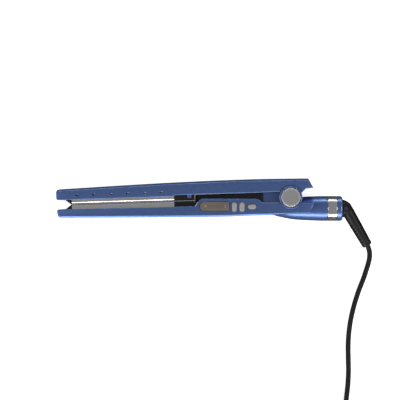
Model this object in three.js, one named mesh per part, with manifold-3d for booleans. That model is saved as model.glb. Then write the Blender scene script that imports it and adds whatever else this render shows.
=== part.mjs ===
// A flat iron (hair straightener), in millimetres, +Z up.
//
// The iron lies on its side, the way it is put down on a table. The hinge axis is the Z axis,
// the handle points along +X, the plates point along -X and the upper arm is on the +Y side.
// z = 0 is the outer face of the back hinge cap, on which the iron rests.
// The arms are drawn in a frame of their own, turned by ARM_TILT about the hinge axis: its x runs
// along the arms and y = 0 is the plane where the two plates meet.

import * as THREE from 'three';
import { mergeVertices } from 'three/addons/utils/BufferGeometryUtils.js';
import Module from 'manifold-3d';

const wasm = await Module();
wasm.setup();

// ---------------------------------------------------------------- driving dimensions

const GAP = 0.3;                       // clearance between neighbouring pieces
const ARM_TILT = THREE.MathUtils.degToRad(1.87);

const SIDE_BACK = 1.2;                 // back and front faces of the arms
const SIDE_FRONT = 37.8;
const MID = (SIDE_BACK + SIDE_FRONT) / 2;
const WALL = 2.0;
const SIDE_BEVEL = 1.3;

const TIP_X = -269.5;                  // arm frame: tip of the upper arm
const TIP_ROUND = 3;
const LIP_PLATE = 5.4;                 // lips of the shells above the plane where the plates meet
const LIP_REAR = 6.9;
const PLATE_FRONT = -251.8;
const PLATE_REAR = -134.2;
const PLATE_WIDTH = 32;
const PLATE_FACE = 0.2;
const PLATE_BACK = 6.8;
const CARRIER_FRONT = -259.5;
const CARRIER_REAR = -110.5;
const CARRIER_BACK = 11;
const CARRIER_SIDES = [4, 35];

const VENT_FIRST = -245.6;             // six vent slots along each side of the upper arm
const VENT_PITCH = 19.45;
const VENT_COUNT = 6;
const VENT_Y = 10.5;
const VENT_LENGTH = 4.2;
const VENT_WIDTH = 2.0;

const HUMP_TOP = -1.5;                 // top of the control hump, straight along the handle
const CHEEK_TOP = -6.2;
const COVER_SIDES = [8, 31];           // raised part of the cover between the arms, across the iron
const COVER_FLANGE = [5.1, 33.9];
const BOARD_BACK = 29.8;               // control board behind the side panel
const BOARD_FRONT = 31.2;
const KEY_DEPTH = 3.2;
const KEY_PROUD = 0.7;
const KEY_FLANGE = 0.9;

const CAP_R = 11.3;                    // hinge, from the pin outwards
const BEZEL_IN = 11.7;
const BEZEL_OUT = 13.8;
const EAR_R = 13.4;
const KNUCKLE_R = 12.4;
const HINGE_CLEAR = 14.2;
const PIN_R = 2.6;
const EAR_FACE = 36.6;
const EAR_IN = 30.8;
const KNUCKLE_FACE = 29.7;
const SPRING_ROOM_R = 8;
const SPRING_ROOM_HALF = 6.5;

const HANDLE_Y = -12.8;                // axis of the round handle, parallel to X at z = MID
const HANDLE_R = 14.4;
const HANDLE_END = 42.8;
const SPIGOT_R = 12.6;
const SPIGOT_END = 56;
const RING_END = 53.8;
const CAP_END = 60.5;
const NECK_R = 7;

const ELBOW_PIVOT_X = 65.1;            // where the sleeve's axis meets the handle's axis
const ELBOW_ANGLE = THREE.MathUtils.degToRad(60.1);
const ELBOW_DROOP = THREE.MathUtils.degToRad(17);
const SLEEVE_LENGTH = 51.4;

const CORD_R = 3;
const COIL_X = 27;
const COIL_Y = -283;
const COIL_LOW = 1.3;
const COIL_IN = 24;
const COIL_OUT = 42;
const COIL_HIGH = COIL_LOW + 24;
const PLUG_Y = -320;
const PLUG_Z = 8.5;

// ---------------------------------------------------------------- materials

function finish(color, roughness, metalness = 0) {
  return new THREE.MeshStandardMaterial({ color, roughness, metalness });
}

const BLUE = finish(0x4a62a0, 0.38, 0.15);
const BLACK = finish(0x17140f, 0.55);
const MIRROR = finish(0xd8dadd, 0.12, 1);
const SATIN = finish(0x9a9a98, 0.38, 1);
const STEEL = finish(0x8d9094, 0.35, 1);
const BRASS = finish(0xb99a52, 0.35, 1);
const CERAMIC = finish(0xe4e0d6, 0.6);
const MICA = finish(0xb7a67c, 0.7);
const SILICONE = finish(0xa8553c, 0.8);
const BOARD = finish(0x2f5a3a, 0.6);
const SMOKE = finish(0x6f665c, 0.12);
const KEY = finish(0xa6a19d, 0.4);
const RUBBER = finish(0x161514, 0.6);

// ---------------------------------------------------------------- booleans

function toSolid(geometry) {
  const bare = geometry.clone();
  bare.deleteAttribute('normal');
  bare.deleteAttribute('uv');
  const merged = mergeVertices(bare, 1e-4);
  const corners = merged.index.array;
  const triangles = [];
  for (let i = 0; i < corners.length; i += 3) {
    const [a, b, c] = corners.slice(i, i + 3);
    if (a !== b && b !== c && c !== a) {
      triangles.push(a, b, c);
    }
  }
  return new wasm.Manifold(new wasm.Mesh({
    numProp: 3,
    vertProperties: Float32Array.from(merged.attributes.position.array),
    triVerts: Uint32Array.from(triangles),
  }));
}

function toGeometry(solid) {
  const { vertProperties, triVerts } = solid.getMesh();
  const geometry = new THREE.BufferGeometry();
  geometry.setAttribute('position', new THREE.BufferAttribute(vertProperties, 3));
  geometry.setIndex(new THREE.BufferAttribute(triVerts, 1));
  geometry.computeVertexNormals();
  return geometry;
}

function cut(base, ...tools) {
  return toGeometry(tools.reduce((solid, tool) => solid.subtract(toSolid(tool)), toSolid(base)));
}

function join(base, ...others) {
  return toGeometry(others.reduce((solid, other) => solid.add(toSolid(other)), toSolid(base)));
}

// ---------------------------------------------------------------- basic shapes

function vectors(points) {
  return points.map(([x, y]) => new THREE.Vector2(x, y));
}

// A flat outline given a thickness along Z, with its edges rounded over by bevel.
function slab(shape, z0, z1, bevel = 0, curveSegments = 4) {
  const geometry = new THREE.ExtrudeGeometry(shape, {
    depth: z1 - z0 - 2 * bevel,
    bevelEnabled: bevel > 0,
    bevelThickness: bevel,
    bevelSize: bevel,
    bevelOffset: -bevel,
    bevelSegments: 1,
    curveSegments,
  });
  return geometry.translate(0, 0, z0 + bevel);
}

function polygonSlab(points, z0, z1, bevel = 0) {
  return slab(new THREE.Shape(vectors(points)), z0, z1, bevel);
}

function block([x0, x1], [y0, y1], [z0, z1]) {
  const geometry = new THREE.BoxGeometry(x1 - x0, y1 - y0, z1 - z0);
  return geometry.translate((x0 + x1) / 2, (y0 + y1) / 2, (z0 + z1) / 2);
}

function roundedRect([x0, x1], [y0, y1], leftR, rightR = leftR) {
  const shape = new THREE.Shape();
  shape.moveTo(x0 + leftR, y0);
  shape.lineTo(x1 - rightR, y0);
  shape.absarc(x1 - rightR, y0 + rightR, rightR, -Math.PI / 2, 0);
  shape.absarc(x1 - rightR, y1 - rightR, rightR, 0, Math.PI / 2);
  shape.absarc(x0 + leftR, y1 - leftR, leftR, Math.PI / 2, Math.PI);
  shape.absarc(x0 + leftR, y0 + leftR, leftR, Math.PI, 1.5 * Math.PI);
  return shape;
}

function grown([low, high], by) {
  return [low - by, high + by];
}

// A round bar along Z.
function bar(radius, z0, z1, x = 0, y = 0, sides = 24) {
  const geometry = new THREE.CylinderGeometry(radius, radius, z1 - z0, sides);
  geometry.rotateX(Math.PI / 2);
  return geometry.translate(x, y, (z0 + z1) / 2);
}

// Turned pieces. The profile lists [radius, height] from the bottom up along the outside; a
// profile that doesn't end on the axis comes back down the inside and closes on itself.
function turned(profile, sides = 24) {
  const points = vectors(profile);
  if (profile[0][0] > 0) {
    points.push(points[0].clone());
  }
  return new THREE.LatheGeometry(points, sides);
}

function turnedOnHinge(profile, sides = 32) {
  return turned(profile, sides).rotateX(Math.PI / 2);
}

function turnedOnHandle(profile, sides = 28) {
  return turned(profile, sides).rotateZ(-Math.PI / 2).translate(0, HANDLE_Y, MID);
}

// The same piece on the back of the iron as on its front.
function onBack(geometry) {
  return geometry.clone().translate(0, 0, -MID).rotateX(Math.PI).translate(0, 0, MID);
}

// A section carried along the arms.
function beam(points, x0, x1) {
  const geometry = slab(new THREE.Shape(vectors(points)), 0, x1 - x0);
  return geometry.rotateY(Math.PI / 2).translate(x0, 0, MID);
}

function tubeAlong(points, radius, steps, sides = 8) {
  const section = new THREE.Shape();
  for (let i = 0; i < sides; i += 1) {
    const angle = (2 * Math.PI * i) / sides;
    const x = radius * Math.cos(angle);
    const y = radius * Math.sin(angle);
    if (i === 0) {
      section.moveTo(x, y);
    } else {
      section.lineTo(x, y);
    }
  }
  const extrudePath = new THREE.CatmullRomCurve3(points, false, 'centripetal');
  return new THREE.ExtrudeGeometry(section, { steps, extrudePath, bevelEnabled: false });
}

function route(points) {
  return points.map(([x, y, z]) => new THREE.Vector3(x, y, z));
}

// ---------------------------------------------------------------- groups

const ironGroup = new THREE.Group();
const upperGroup = new THREE.Group();
const lowerPlateGroup = new THREE.Group();
upperGroup.rotation.z = ARM_TILT;
lowerPlateGroup.rotation.z = ARM_TILT;
ironGroup.add(upperGroup, lowerPlateGroup);

function addPiece(group, name, geometry, material) {
  const mesh = new THREE.Mesh(geometry, material);
  mesh.name = name;
  group.add(mesh);
}

// ---------------------------------------------------------------- upper arm

// The back of the upper arm, from the tail forward to the tip, moved inwards by inset.
function upperBack(inset) {
  return vectors([[-40, 22.3 - inset], [-136, 21.5 - inset], [-265, 18 - inset]]);
}

function upperOutline() {
  const shape = new THREE.Shape();
  shape.moveTo(TIP_X + TIP_ROUND, LIP_PLATE);
  shape.lineTo(PLATE_REAR - 1.8, LIP_PLATE);
  shape.lineTo(PLATE_REAR + 2, LIP_REAR);
  shape.lineTo(11, LIP_REAR);
  shape.lineTo(13.2, 5.2);
  shape.lineTo(17.9, 9.7);
  shape.lineTo(26.4, 10.1);
  shape.lineTo(20.9, 21.2);
  shape.splineThru(upperBack(0));
  shape.quadraticCurveTo(TIP_X, 17.9, TIP_X, 14.5);
  shape.lineTo(TIP_X, LIP_PLATE + TIP_ROUND);
  shape.quadraticCurveTo(TIP_X, LIP_PLATE, TIP_X + TIP_ROUND, LIP_PLATE);
  return shape;
}

function upperHollow() {
  const shape = new THREE.Shape();
  shape.moveTo(TIP_X + WALL, 0);
  shape.lineTo(10, 0);
  shape.lineTo(10, 21.6 - WALL);
  shape.splineThru(upperBack(WALL));
  shape.lineTo(TIP_X + WALL, 15.4);
  return shape;
}

// The barrel that turns between the ears of the lower arm, and the web that carries it.
function upperKnuckle() {
  const web = [[-31.5, -4.85], [-8, -5.5], [-8, -2], [KNUCKLE_R - 0.3, 0], [KNUCKLE_R - 0.3, 21]];
  web.push([-31.5, 21]);
  const z0 = 2 * MID - KNUCKLE_FACE;
  return join(bar(KNUCKLE_R, z0, KNUCKLE_FACE), polygonSlab(web, z0, KNUCKLE_FACE));
}

function ventSlots() {
  const slots = [];
  for (let i = 0; i < VENT_COUNT; i += 1) {
    const x = VENT_FIRST + i * VENT_PITCH;
    const across = [x - VENT_LENGTH / 2, x + VENT_LENGTH / 2];
    const up = [VENT_Y - VENT_WIDTH / 2, VENT_Y + VENT_WIDTH / 2];
    slots.push(slab(roundedRect(across, up, VENT_WIDTH / 2), 0, 2 * MID, 0, 1));
  }
  return slots;
}

// Small guide tabs below the lips, which keep the arms in line as they close.
function guideTab(z0) {
  const outline = [[-119.6, 8], [-118.4, 3.4], [-114.6, 3.4], [-113.2, 8]];
  return polygonSlab(outline, z0, z0 + WALL - 0.5);
}

const COVER_SCREWS = [-94, -48];

function screwBoss(x) {
  const boss = new THREE.CylinderGeometry(3.2, 3.2, 10, 16);
  return boss.translate(x, 16, MID);
}

function screwBore(x) {
  const bore = new THREE.CylinderGeometry(1.7, 1.7, 10, 12);
  return bore.translate(x, 12, MID);
}

function upperShell() {
  const tabs = [guideTab(SIDE_FRONT - WALL), guideTab(SIDE_BACK + 0.5)];
  const hollow = slab(upperHollow(), SIDE_BACK + WALL, SIDE_FRONT - WALL);
  const shell = cut(
    slab(upperOutline(), SIDE_BACK, SIDE_FRONT, SIDE_BEVEL),
    hollow,
    bar(HINGE_CLEAR, -1, 2 * MID + 1, 0, 0, 32),
    ...ventSlots(),
  );
  const built = join(shell, upperKnuckle(), ...tabs, ...COVER_SCREWS.map(screwBoss));
  const springRoom = bar(SPRING_ROOM_R, MID - SPRING_ROOM_HALF, MID + SPRING_ROOM_HALF);
  return cut(
    built,
    bar(PIN_R + GAP + 0.1, 0, 2 * MID),
    springRoom,
    ...COVER_SCREWS.map(screwBore),
  );
}

function upperInnerCover() {
  const across = [SIDE_BACK + WALL + GAP, SIDE_FRONT - WALL - GAP];
  return cut(block([-106, -34.5], [8.6, 10.6], across), ...COVER_SCREWS.map(screwBore));
}

function coverScrew(x) {
  const profile = [[0, 0], [2.6, 0], [2.6, 0.9], [1.3, 0.9], [1.3, 7.6], [0, 7.6]];
  return turned(profile, 12).translate(x, 7.4, MID);
}

// ---------------------------------------------------------------- plate units

// side is +1 for the upper unit and -1 for the lower one.
function plate(side) {
  const half = PLATE_WIDTH / 2;
  const inner = half - 1.8;
  const face = [[-half, 2.2], [-half + 0.6, 0.8], [-half + 2, PLATE_FACE]];
  const mirrored = face.map(([z, y]) => [-z, y]).reverse();
  const legs = [[half, PLATE_BACK], [inner, PLATE_BACK], [inner, 2.2]];
  const section = [
    ...face, ...mirrored, ...legs, [-inner, 2.2], [-inner, PLATE_BACK], [-half, PLATE_BACK],
  ];
  return beam(section.map(([z, y]) => [z, side * y]), PLATE_FRONT, PLATE_REAR);
}

function carrier(side) {
  const seat = PLATE_BACK + 0.35;
  const outline = [
    [CARRIER_FRONT, 5.6],
    [PLATE_FRONT - 0.5, 0.35],
    [PLATE_FRONT - 0.5, seat],
    [PLATE_REAR + 0.5, seat],
    [PLATE_REAR + 0.5, 0.35],
    [CARRIER_REAR, 0.35],
    [CARRIER_REAR, CARRIER_BACK],
    [CARRIER_FRONT, CARRIER_BACK],
  ];
  const body = polygonSlab(outline.map(([x, y]) => [x, side * y]), ...CARRIER_SIDES);
  const tray = [side * (seat + 1.7), side * (CARRIER_BACK + 1)].sort((a, b) => a - b);
  const along = [CARRIER_FRONT + WALL, CARRIER_REAR - WALL];
  return cut(body, block(along, tray, grown(CARRIER_SIDES, -WALL)));
}

// A flat layer behind a plate, or a pad behind its carrier.
function layer(side, x, y, z) {
  return block(x, [side * y[0], side * y[1]].sort((a, b) => a - b), z);
}

function addPlateUnit(group, name, side, padReach) {
  addPiece(group, `${name}_carrier`, carrier(side), BLACK);
  addPiece(group, `${name}_plate`, plate(side), MIRROR);
  addPiece(group, `${name}_heater`, layer(side, [-246, -140], [2.5, 6], [10, 29]), CERAMIC);
  addPiece(group, `${name}_insulator`, layer(side, [-248, -138], [6.3, 6.85], [6, 33]), MICA);
  const [front, rear] = padReach.map((reach) => [CARRIER_BACK + GAP, reach]);
  addPiece(group, `${name}_float_pad_front`, layer(side, [-240, -232], front, [12, 27]), SILICONE);
  addPiece(group, `${name}_float_pad_rear`, layer(side, [-124, -116], rear, [12, 27]), SILICONE);
}

function thermalFuse() {
  const fuse = new THREE.CylinderGeometry(1.3, 1.3, 14, 12);
  return fuse.rotateZ(Math.PI / 2).translate(-200, 0.5 - CARRIER_BACK, MID);
}

// ---------------------------------------------------------------- lower arm

function lowerOutline() {
  const shape = new THREE.Shape();
  shape.moveTo(-264, -23.5);
  shape.splineThru(vectors([[-150, -22.9], [-72, -22.1], [-45, -20.95], [-18, -20.5]]));
  shape.lineTo(22, -17.9);
  shape.lineTo(27, CHEEK_TOP);
  shape.lineTo(-32.4, CHEEK_TOP);
  shape.quadraticCurveTo(-35.6, HUMP_TOP, -42, HUMP_TOP);
  shape.lineTo(-100.5, HUMP_TOP);
  shape.quadraticCurveTo(-104.8, HUMP_TOP, -106.6, -5.2);
  shape.lineTo(-109.4, -10.1);
  shape.lineTo(-265.8, -13.72);
  shape.quadraticCurveTo(-268.8, -13.8, -268.6, -16.8);
  shape.lineTo(-267.7, -20.6);
  shape.quadraticCurveTo(-267, -23.5, -264, -23.5);
  return shape;
}

const LOWER_HOLLOW = [
  [-265, -21.4], [-72, -20], [-45, -18.9], [-36.5, -18.6], [-36.5, -3.6], [-105, -3.6],
  [-109, -8], [-109, 2], [-265, 2],
];

const WINDOW_X = [-104.3, -71];
const WINDOW_Y = [-15.5, -5.1];
const PLUS_X = [-67.5, -62.3];
const MINUS_X = [-58.9, -53.4];
const TALL_KEY_Y = [-16.2, -6];
const POWER_X = [-49.1, -40.1];
const POWER_Y = [-13.3, -8.4];
const TALL_KEY_R = 2.2;
const POWER_KEY_R = 2.3;

// Openings in the side of the control hump for the window and the three buttons.
function panelOpenings() {
  const openings = [
    roundedRect(grown(WINDOW_X, GAP), grown(WINDOW_Y, GAP), 4.4, 1.6),
    roundedRect(grown(PLUS_X, GAP), grown(TALL_KEY_Y, GAP), TALL_KEY_R + GAP),
    roundedRect(grown(MINUS_X, GAP), grown(TALL_KEY_Y, GAP), TALL_KEY_R + GAP),
    roundedRect(grown(POWER_X, GAP), grown(POWER_Y, GAP), POWER_KEY_R + GAP),
  ];
  return openings.map((shape) => slab(shape, SIDE_FRONT - WALL - 1, SIDE_FRONT + 1, 0, 3));
}

// Outer radius of the handle along its axis: a pointed belly that grows out from under the arm.
const HANDLE_OUTSIDE = [
  [7.6, -19], [9.1, -14.6], [10.6, -7.7], [12, -0.8], [12.9, 6.1], [13.4, 13], [13.8, 20],
  [14.1, 28], [14.35, 36], [HANDLE_R, HANDLE_END],
];

// Room for the handle and its belly inside the lower arm.
function handleRoom() {
  const room = HANDLE_OUTSIDE.map(([r, x]) => [r + GAP + 0.1, x]);
  const profile = [[0, -19.4], [7.9, -19.4], ...room, [0, HANDLE_END]];
  return cut(turnedOnHandle(profile), bar(HINGE_CLEAR - 0.6, 0, 2 * MID));
}

function ear() {
  return bar(EAR_R, EAR_IN, EAR_FACE);
}

function bezelRoom() {
  return bar(BEZEL_OUT + GAP, EAR_FACE, SIDE_FRONT + 1, 0, 0, 32);
}

function lowerShell() {
  const outer = cut(
    slab(lowerOutline(), SIDE_BACK, SIDE_FRONT, SIDE_BEVEL),
    polygonSlab(LOWER_HOLLOW, SIDE_BACK + WALL, SIDE_FRONT - WALL),
    block([-109, -31.9], [-6, 2], grown(COVER_SIDES, GAP)),
    block([-37, -17], [-18, -8.5], [9, 30]),
    handleRoom(),
    bar(HINGE_CLEAR + 0.1, 2 * MID - EAR_IN, EAR_IN, 0, 0, 32),
    ...panelOpenings(),
  );
  const eared = join(outer, ear(), onBack(ear()));
  return cut(eared, bezelRoom(), onBack(bezelRoom()), bar(PIN_R + GAP, 0, 2 * MID));
}

function lowerInnerCover() {
  const raised = [
    [-109.9, -9.3], [-109.3, -9.3], [-107.4, -5.95], [-107.4, -5.6], [-32.15, -5.6],
    [-32.15, 5.7], [-109.9, 3.1],
  ];
  const flange = block([-103, -37.2], [-5.6, -4], COVER_FLANGE);
  const hollow = block([-105.5, -38.8], [-7, 1.2], grown(COVER_SIDES, -WALL));
  return cut(join(polygonSlab(raised, ...COVER_SIDES), flange), hollow);
}

function windowLens() {
  return slab(roundedRect(WINDOW_X, WINDOW_Y, 4.2, 1.4), SIDE_FRONT - 1.9, SIDE_FRONT - 0.1, 0, 3);
}

function displayModule() {
  return block([-102.5, -73], [-14.6, -6.2], [BOARD_FRONT + GAP, 35.5]);
}

function controlBoard() {
  return block([-105.5, -38.5], [-17.4, -6.3], [BOARD_BACK, BOARD_FRONT]);
}

// A key cap with a flange behind the panel that keeps it in.
function keyCap(x, y, radius) {
  const z0 = SIDE_FRONT - KEY_DEPTH;
  const cap = slab(roundedRect(x, y, radius), z0, SIDE_FRONT + KEY_PROUD, 0.5, 3);
  const flange = block(grown(x, KEY_FLANGE), grown(y, KEY_FLANGE), [z0, z0 + KEY_FLANGE]);
  return join(cap, flange);
}

function keySwitch([x0, x1], [y0, y1]) {
  const x = (x0 + x1) / 2;
  const y = (y0 + y1) / 2;
  const z0 = BOARD_FRONT + GAP;
  const body = block([x - 2.3, x + 2.3], [y - 2.3, y + 2.3], [z0, z0 + 1.3]);
  return join(body, bar(1, z0 + 1.2, z0 + 2.1, x, y, 12));
}

// ---------------------------------------------------------------- hinge

function hingePin() {
  return bar(PIN_R, 3, 36, 0, 0, 24);
}

function hingeWasher() {
  const z0 = KNUCKLE_FACE + GAP;
  return turnedOnHinge([[PIN_R + GAP, z0], [9, z0], [9, EAR_IN - GAP], [PIN_R + GAP, EAR_IN - GAP]]);
}

function hingeCap() {
  const z0 = EAR_FACE + GAP;
  const z1 = 2 * MID;
  return turnedOnHinge([[0, z0], [CAP_R, z0], [CAP_R, z1 - 0.5], [CAP_R - 0.6, z1], [0, z1]]);
}

function hingeBezel() {
  const z0 = EAR_FACE + GAP;
  const z1 = SIDE_FRONT + 0.8;
  return turnedOnHinge([
    [BEZEL_IN, z0], [BEZEL_OUT, z0], [BEZEL_OUT, z1 - 0.6], [BEZEL_OUT - 0.6, z1],
    [BEZEL_IN + 0.4, z1], [BEZEL_IN, z1 - 0.4],
  ]);
}

function hingeSpring() {
  const turns = 5;
  const perTurn = 10;
  const radius = 5.4;
  const points = [];
  for (let i = 0; i <= turns * perTurn; i += 1) {
    const angle = (2 * Math.PI * i) / perTurn;
    const z = MID + 10 * (i / (turns * perTurn) - 0.5);
    points.push(new THREE.Vector3(radius * Math.cos(angle), radius * Math.sin(angle), z));
  }
  return tubeAlong(points, 0.8, turns * perTurn, 6);
}

// ---------------------------------------------------------------- handle and swivel

function rearHandle() {
  const inside = [
    [SPIGOT_R, HANDLE_END], [SPIGOT_R, SPIGOT_END], [10.6, SPIGOT_END], [10.6, 6], [8.4, -9],
    [5.6, -17], [5.4, -19],
  ];
  return cut(
    turnedOnHandle([...HANDLE_OUTSIDE, ...inside]),
    bar(HINGE_CLEAR - 0.2, 0, 2 * MID, 0, 0, 32),
    block([-20, 0], [CHEEK_TOP - 0.6, 5], [0, 2 * MID]),
  );
}

function chromeRing() {
  const x0 = HANDLE_END + GAP;
  return turnedOnHandle([
    [SPIGOT_R + GAP, x0], [HANDLE_R - 0.3, x0], [HANDLE_R, x0 + 0.3], [HANDLE_R, RING_END - 0.3],
    [HANDLE_R - 0.3, RING_END], [SPIGOT_R + GAP, RING_END],
  ]);
}

function endCap() {
  const x0 = RING_END + GAP;
  return turnedOnHandle([
    [SPIGOT_R + GAP, x0], [HANDLE_R, x0], [HANDLE_R, CAP_END - 2.9], [HANDLE_R - 0.4, CAP_END - 1.4],
    [HANDLE_R - 1.4, CAP_END - 0.4], [HANDLE_R - 2.9, CAP_END], [NECK_R + GAP, CAP_END],
    [NECK_R + GAP, 57], [SPIGOT_R + GAP, 57],
  ]);
}

function swivelSocket() {
  return turnedOnHandle([
    [6, 41], [10.3, 41], [10.3, 56.6], [NECK_R + GAP, 56.6], [NECK_R + GAP, 50.9], [9.6, 50.9],
    [9.6, 42.5], [6, 42.5],
  ]);
}

function lineContact() {
  return turnedOnHandle([[7, 43], [8.6, 43], [8.6, 46], [7, 46]], 24);
}

function neutralContact() {
  return turnedOnHandle([[0, 43], [2.2, 43], [2.2, 44], [1.4, 44], [1.4, 47.6], [0, 47.6]], 16);
}

const SLEEVE_AXIS = new THREE.Vector3(
  Math.cos(ELBOW_ANGLE),
  -Math.sin(ELBOW_ANGLE) * Math.cos(ELBOW_DROOP),
  -Math.sin(ELBOW_ANGLE) * Math.sin(ELBOW_DROOP),
);

function swivelElbow() {
  const hub = turnedOnHandle([
    [0, 48.5], [9.2, 48.5], [9.2, 50.5], [NECK_R, 50.5], [NECK_R, CAP_END + GAP],
    [10.4, CAP_END + GAP], [10.4, 62.2], [9.8, 64.8], [8.6, 67.4], [6.4, 69.8], [3.4, 71.4], [0, 72],
  ]);
  const sleeve = turned([
    [0, 3.8], [5.4, 3.8], [6.9, 6.5], [6.9, 14], [6.6, 28], [6.1, 41], [5.6, 49.8],
    [5, SLEEVE_LENGTH], [0, SLEEVE_LENGTH],
  ], 24);
  sleeve.applyQuaternion(new THREE.Quaternion().setFromUnitVectors(new THREE.Vector3(0, 1, 0), SLEEVE_AXIS));
  sleeve.translate(ELBOW_PIVOT_X, HANDLE_Y, MID);
  return join(hub, sleeve);
}

// ---------------------------------------------------------------- leads inside the iron

const MAINS_LEAD = [
  [39, -12.8, 19.5], [26, -14, 19.5], [14, -16.4, 19.5], [2, -17.8, 19.5], [-10, -16.6, 19.5],
  [-20, -13.5, 20], [-32, -12.5, 22], [-44, -12.5, 24.5],
];
const UPPER_LEAD = [[-107, 14.5, 27], [-90, 14.8, 27.6], [-60, 14.6, 26.6], [-34, 14.5, 26]];
const LOWER_LEAD = [[-108, -14, 12], [-90, -14.6, 11.4], [-66, -14.2, 12.4], [-46, -13.4, 13]];

// ---------------------------------------------------------------- mains cord

// The free cord lies on the surface under the iron and ends in a coil, a tie and a plug.
const CORD_LEAD = [
  [92.6, -59.6, 5.2], [93.7, -64, 4.2], [93.9, -68.6, 3.5], [93.4, -73, 3.1], [92.3, -77.5, 3],
  [89.7, -85.8, 3], [86.9, -94.4, 3], [83.4, -103.2, 3], [79.8, -113, 3], [75.8, -126, 3],
  [72.2, -141, 3], [69.8, -157, 3], [68.8, -173, 3], [69, -189, 3], [69.2, -205, 3],
  [68.4, -220, 3], [66.8, -235, 3], [66, -248, 3.6], [66, -260.4, 4.2],
];
const CORD_TAIL = [
  [4.6, -322, 21], [-3, -321.8, 18.4], [-10, -321.2, 15], [-17, -320.5, 11.9],
  [-23.6, -320.1, 9.5], [-29.3, -320, 8.7],
];

function cordLead() {
  const start = new THREE.Vector3(ELBOW_PIVOT_X, HANDLE_Y, MID);
  start.addScaledVector(SLEEVE_AXIS, SLEEVE_LENGTH + 0.5);
  return tubeAlong([start, ...route(CORD_LEAD)], CORD_R, 28);
}

function cordCoil() {
  const ring = turned([
    [COIL_IN, COIL_LOW], [COIL_OUT, COIL_LOW], [COIL_OUT, COIL_HIGH], [COIL_IN, COIL_HIGH],
  ], 48);
  return ring.rotateX(Math.PI / 2).translate(COIL_X, COIL_Y, 0);
}

// A flat strap closed round the turns of the coil.
function cordTie() {
  const strap = roundedRect([COIL_IN - 2, COIL_OUT + 1.2], [COIL_LOW - 1.2, COIL_HIGH + 1.2], 2);
  strap.holes.push(new THREE.Path(roundedRect(
    [COIL_IN - 1.1, COIL_OUT + GAP],
    [COIL_LOW - GAP, COIL_HIGH + GAP],
    1,
  ).getPoints(3)));
  const band = slab(strap, -5, 5, 0, 3).rotateX(Math.PI / 2);
  return band.rotateZ(THREE.MathUtils.degToRad(135)).translate(COIL_X, COIL_Y, 0);
}

// Plug lying flat, its blades pointing along -X.
function plugBody() {
  const body = slab(roundedRect([-86, -54], [PLUG_Y - 13, PLUG_Y + 13], 4, 9), 0, 2 * PLUG_Z, 2.4, 3);
  const relief = turned([[0, 0], [4.2, 0], [4.8, 8], [6.4, 25], [6.4, 28], [0, 28]], 16);
  relief.rotateZ(Math.PI / 2).translate(-30, PLUG_Y, PLUG_Z);
  return join(body, relief);
}

function plugBlade(offset) {
  const y = PLUG_Y + offset;
  return block([-102.8, -86.3], [y - 0.75, y + 0.75], [PLUG_Z - 3.2, PLUG_Z + 3.2]);
}

// ---------------------------------------------------------------- assembly

addPiece(upperGroup, 'upper_shell', upperShell(), BLUE);
addPiece(upperGroup, 'upper_inner_cover', upperInnerCover(), BLACK);
addPiece(upperGroup, 'upper_screw_front', coverScrew(COVER_SCREWS[0]), STEEL);
addPiece(upperGroup, 'upper_screw_rear', coverScrew(COVER_SCREWS[1]), STEEL);
addPiece(upperGroup, 'upper_lead', tubeAlong(route(UPPER_LEAD), 1.6, 8), CERAMIC);
addPlateUnit(upperGroup, 'upper', 1, [15.8, 18.4]);

addPlateUnit(lowerPlateGroup, 'lower', -1, [12.2, 15.4]);
addPiece(lowerPlateGroup, 'thermal_fuse', thermalFuse(), STEEL);

addPiece(ironGroup, 'lower_shell', lowerShell(), BLUE);
addPiece(ironGroup, 'lower_inner_cover', lowerInnerCover(), BLACK);
addPiece(ironGroup, 'display_window', windowLens(), SMOKE);
addPiece(ironGroup, 'display_module', displayModule(), SMOKE);
addPiece(ironGroup, 'control_board', controlBoard(), BOARD);
addPiece(ironGroup, 'plus_button', keyCap(PLUS_X, TALL_KEY_Y, TALL_KEY_R), KEY);
addPiece(ironGroup, 'minus_button', keyCap(MINUS_X, TALL_KEY_Y, TALL_KEY_R), KEY);
addPiece(ironGroup, 'power_button', keyCap(POWER_X, POWER_Y, POWER_KEY_R), KEY);
addPiece(ironGroup, 'plus_switch', keySwitch(PLUS_X, TALL_KEY_Y), STEEL);
addPiece(ironGroup, 'minus_switch', keySwitch(MINUS_X, TALL_KEY_Y), STEEL);
addPiece(ironGroup, 'power_switch', keySwitch(POWER_X, POWER_Y), STEEL);
addPiece(ironGroup, 'lower_lead', tubeAlong(route(LOWER_LEAD), 1.6, 8), CERAMIC);
addPiece(ironGroup, 'mains_lead', tubeAlong(route(MAINS_LEAD), 1.8, 14), RUBBER);

addPiece(ironGroup, 'hinge_pin', hingePin(), STEEL);
addPiece(ironGroup, 'hinge_spring', hingeSpring(), STEEL);
addPiece(ironGroup, 'hinge_washer_front', hingeWasher(), BRASS);
addPiece(ironGroup, 'hinge_washer_back', onBack(hingeWasher()), BRASS);
addPiece(ironGroup, 'hinge_cap_front', hingeCap(), SATIN);
addPiece(ironGroup, 'hinge_cap_back', onBack(hingeCap()), SATIN);
addPiece(ironGroup, 'hinge_bezel_front', hingeBezel(), BLUE);
addPiece(ironGroup, 'hinge_bezel_back', onBack(hingeBezel()), BLUE);

addPiece(ironGroup, 'rear_handle', rearHandle(), BLUE);
addPiece(ironGroup, 'chrome_ring', chromeRing(), MIRROR);
addPiece(ironGroup, 'end_cap', endCap(), BLUE);
addPiece(ironGroup, 'swivel_socket', swivelSocket(), BLACK);
addPiece(ironGroup, 'line_contact', lineContact(), BRASS);
addPiece(ironGroup, 'neutral_contact', neutralContact(), BRASS);
addPiece(ironGroup, 'swivel_elbow', swivelElbow(), RUBBER);

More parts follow.
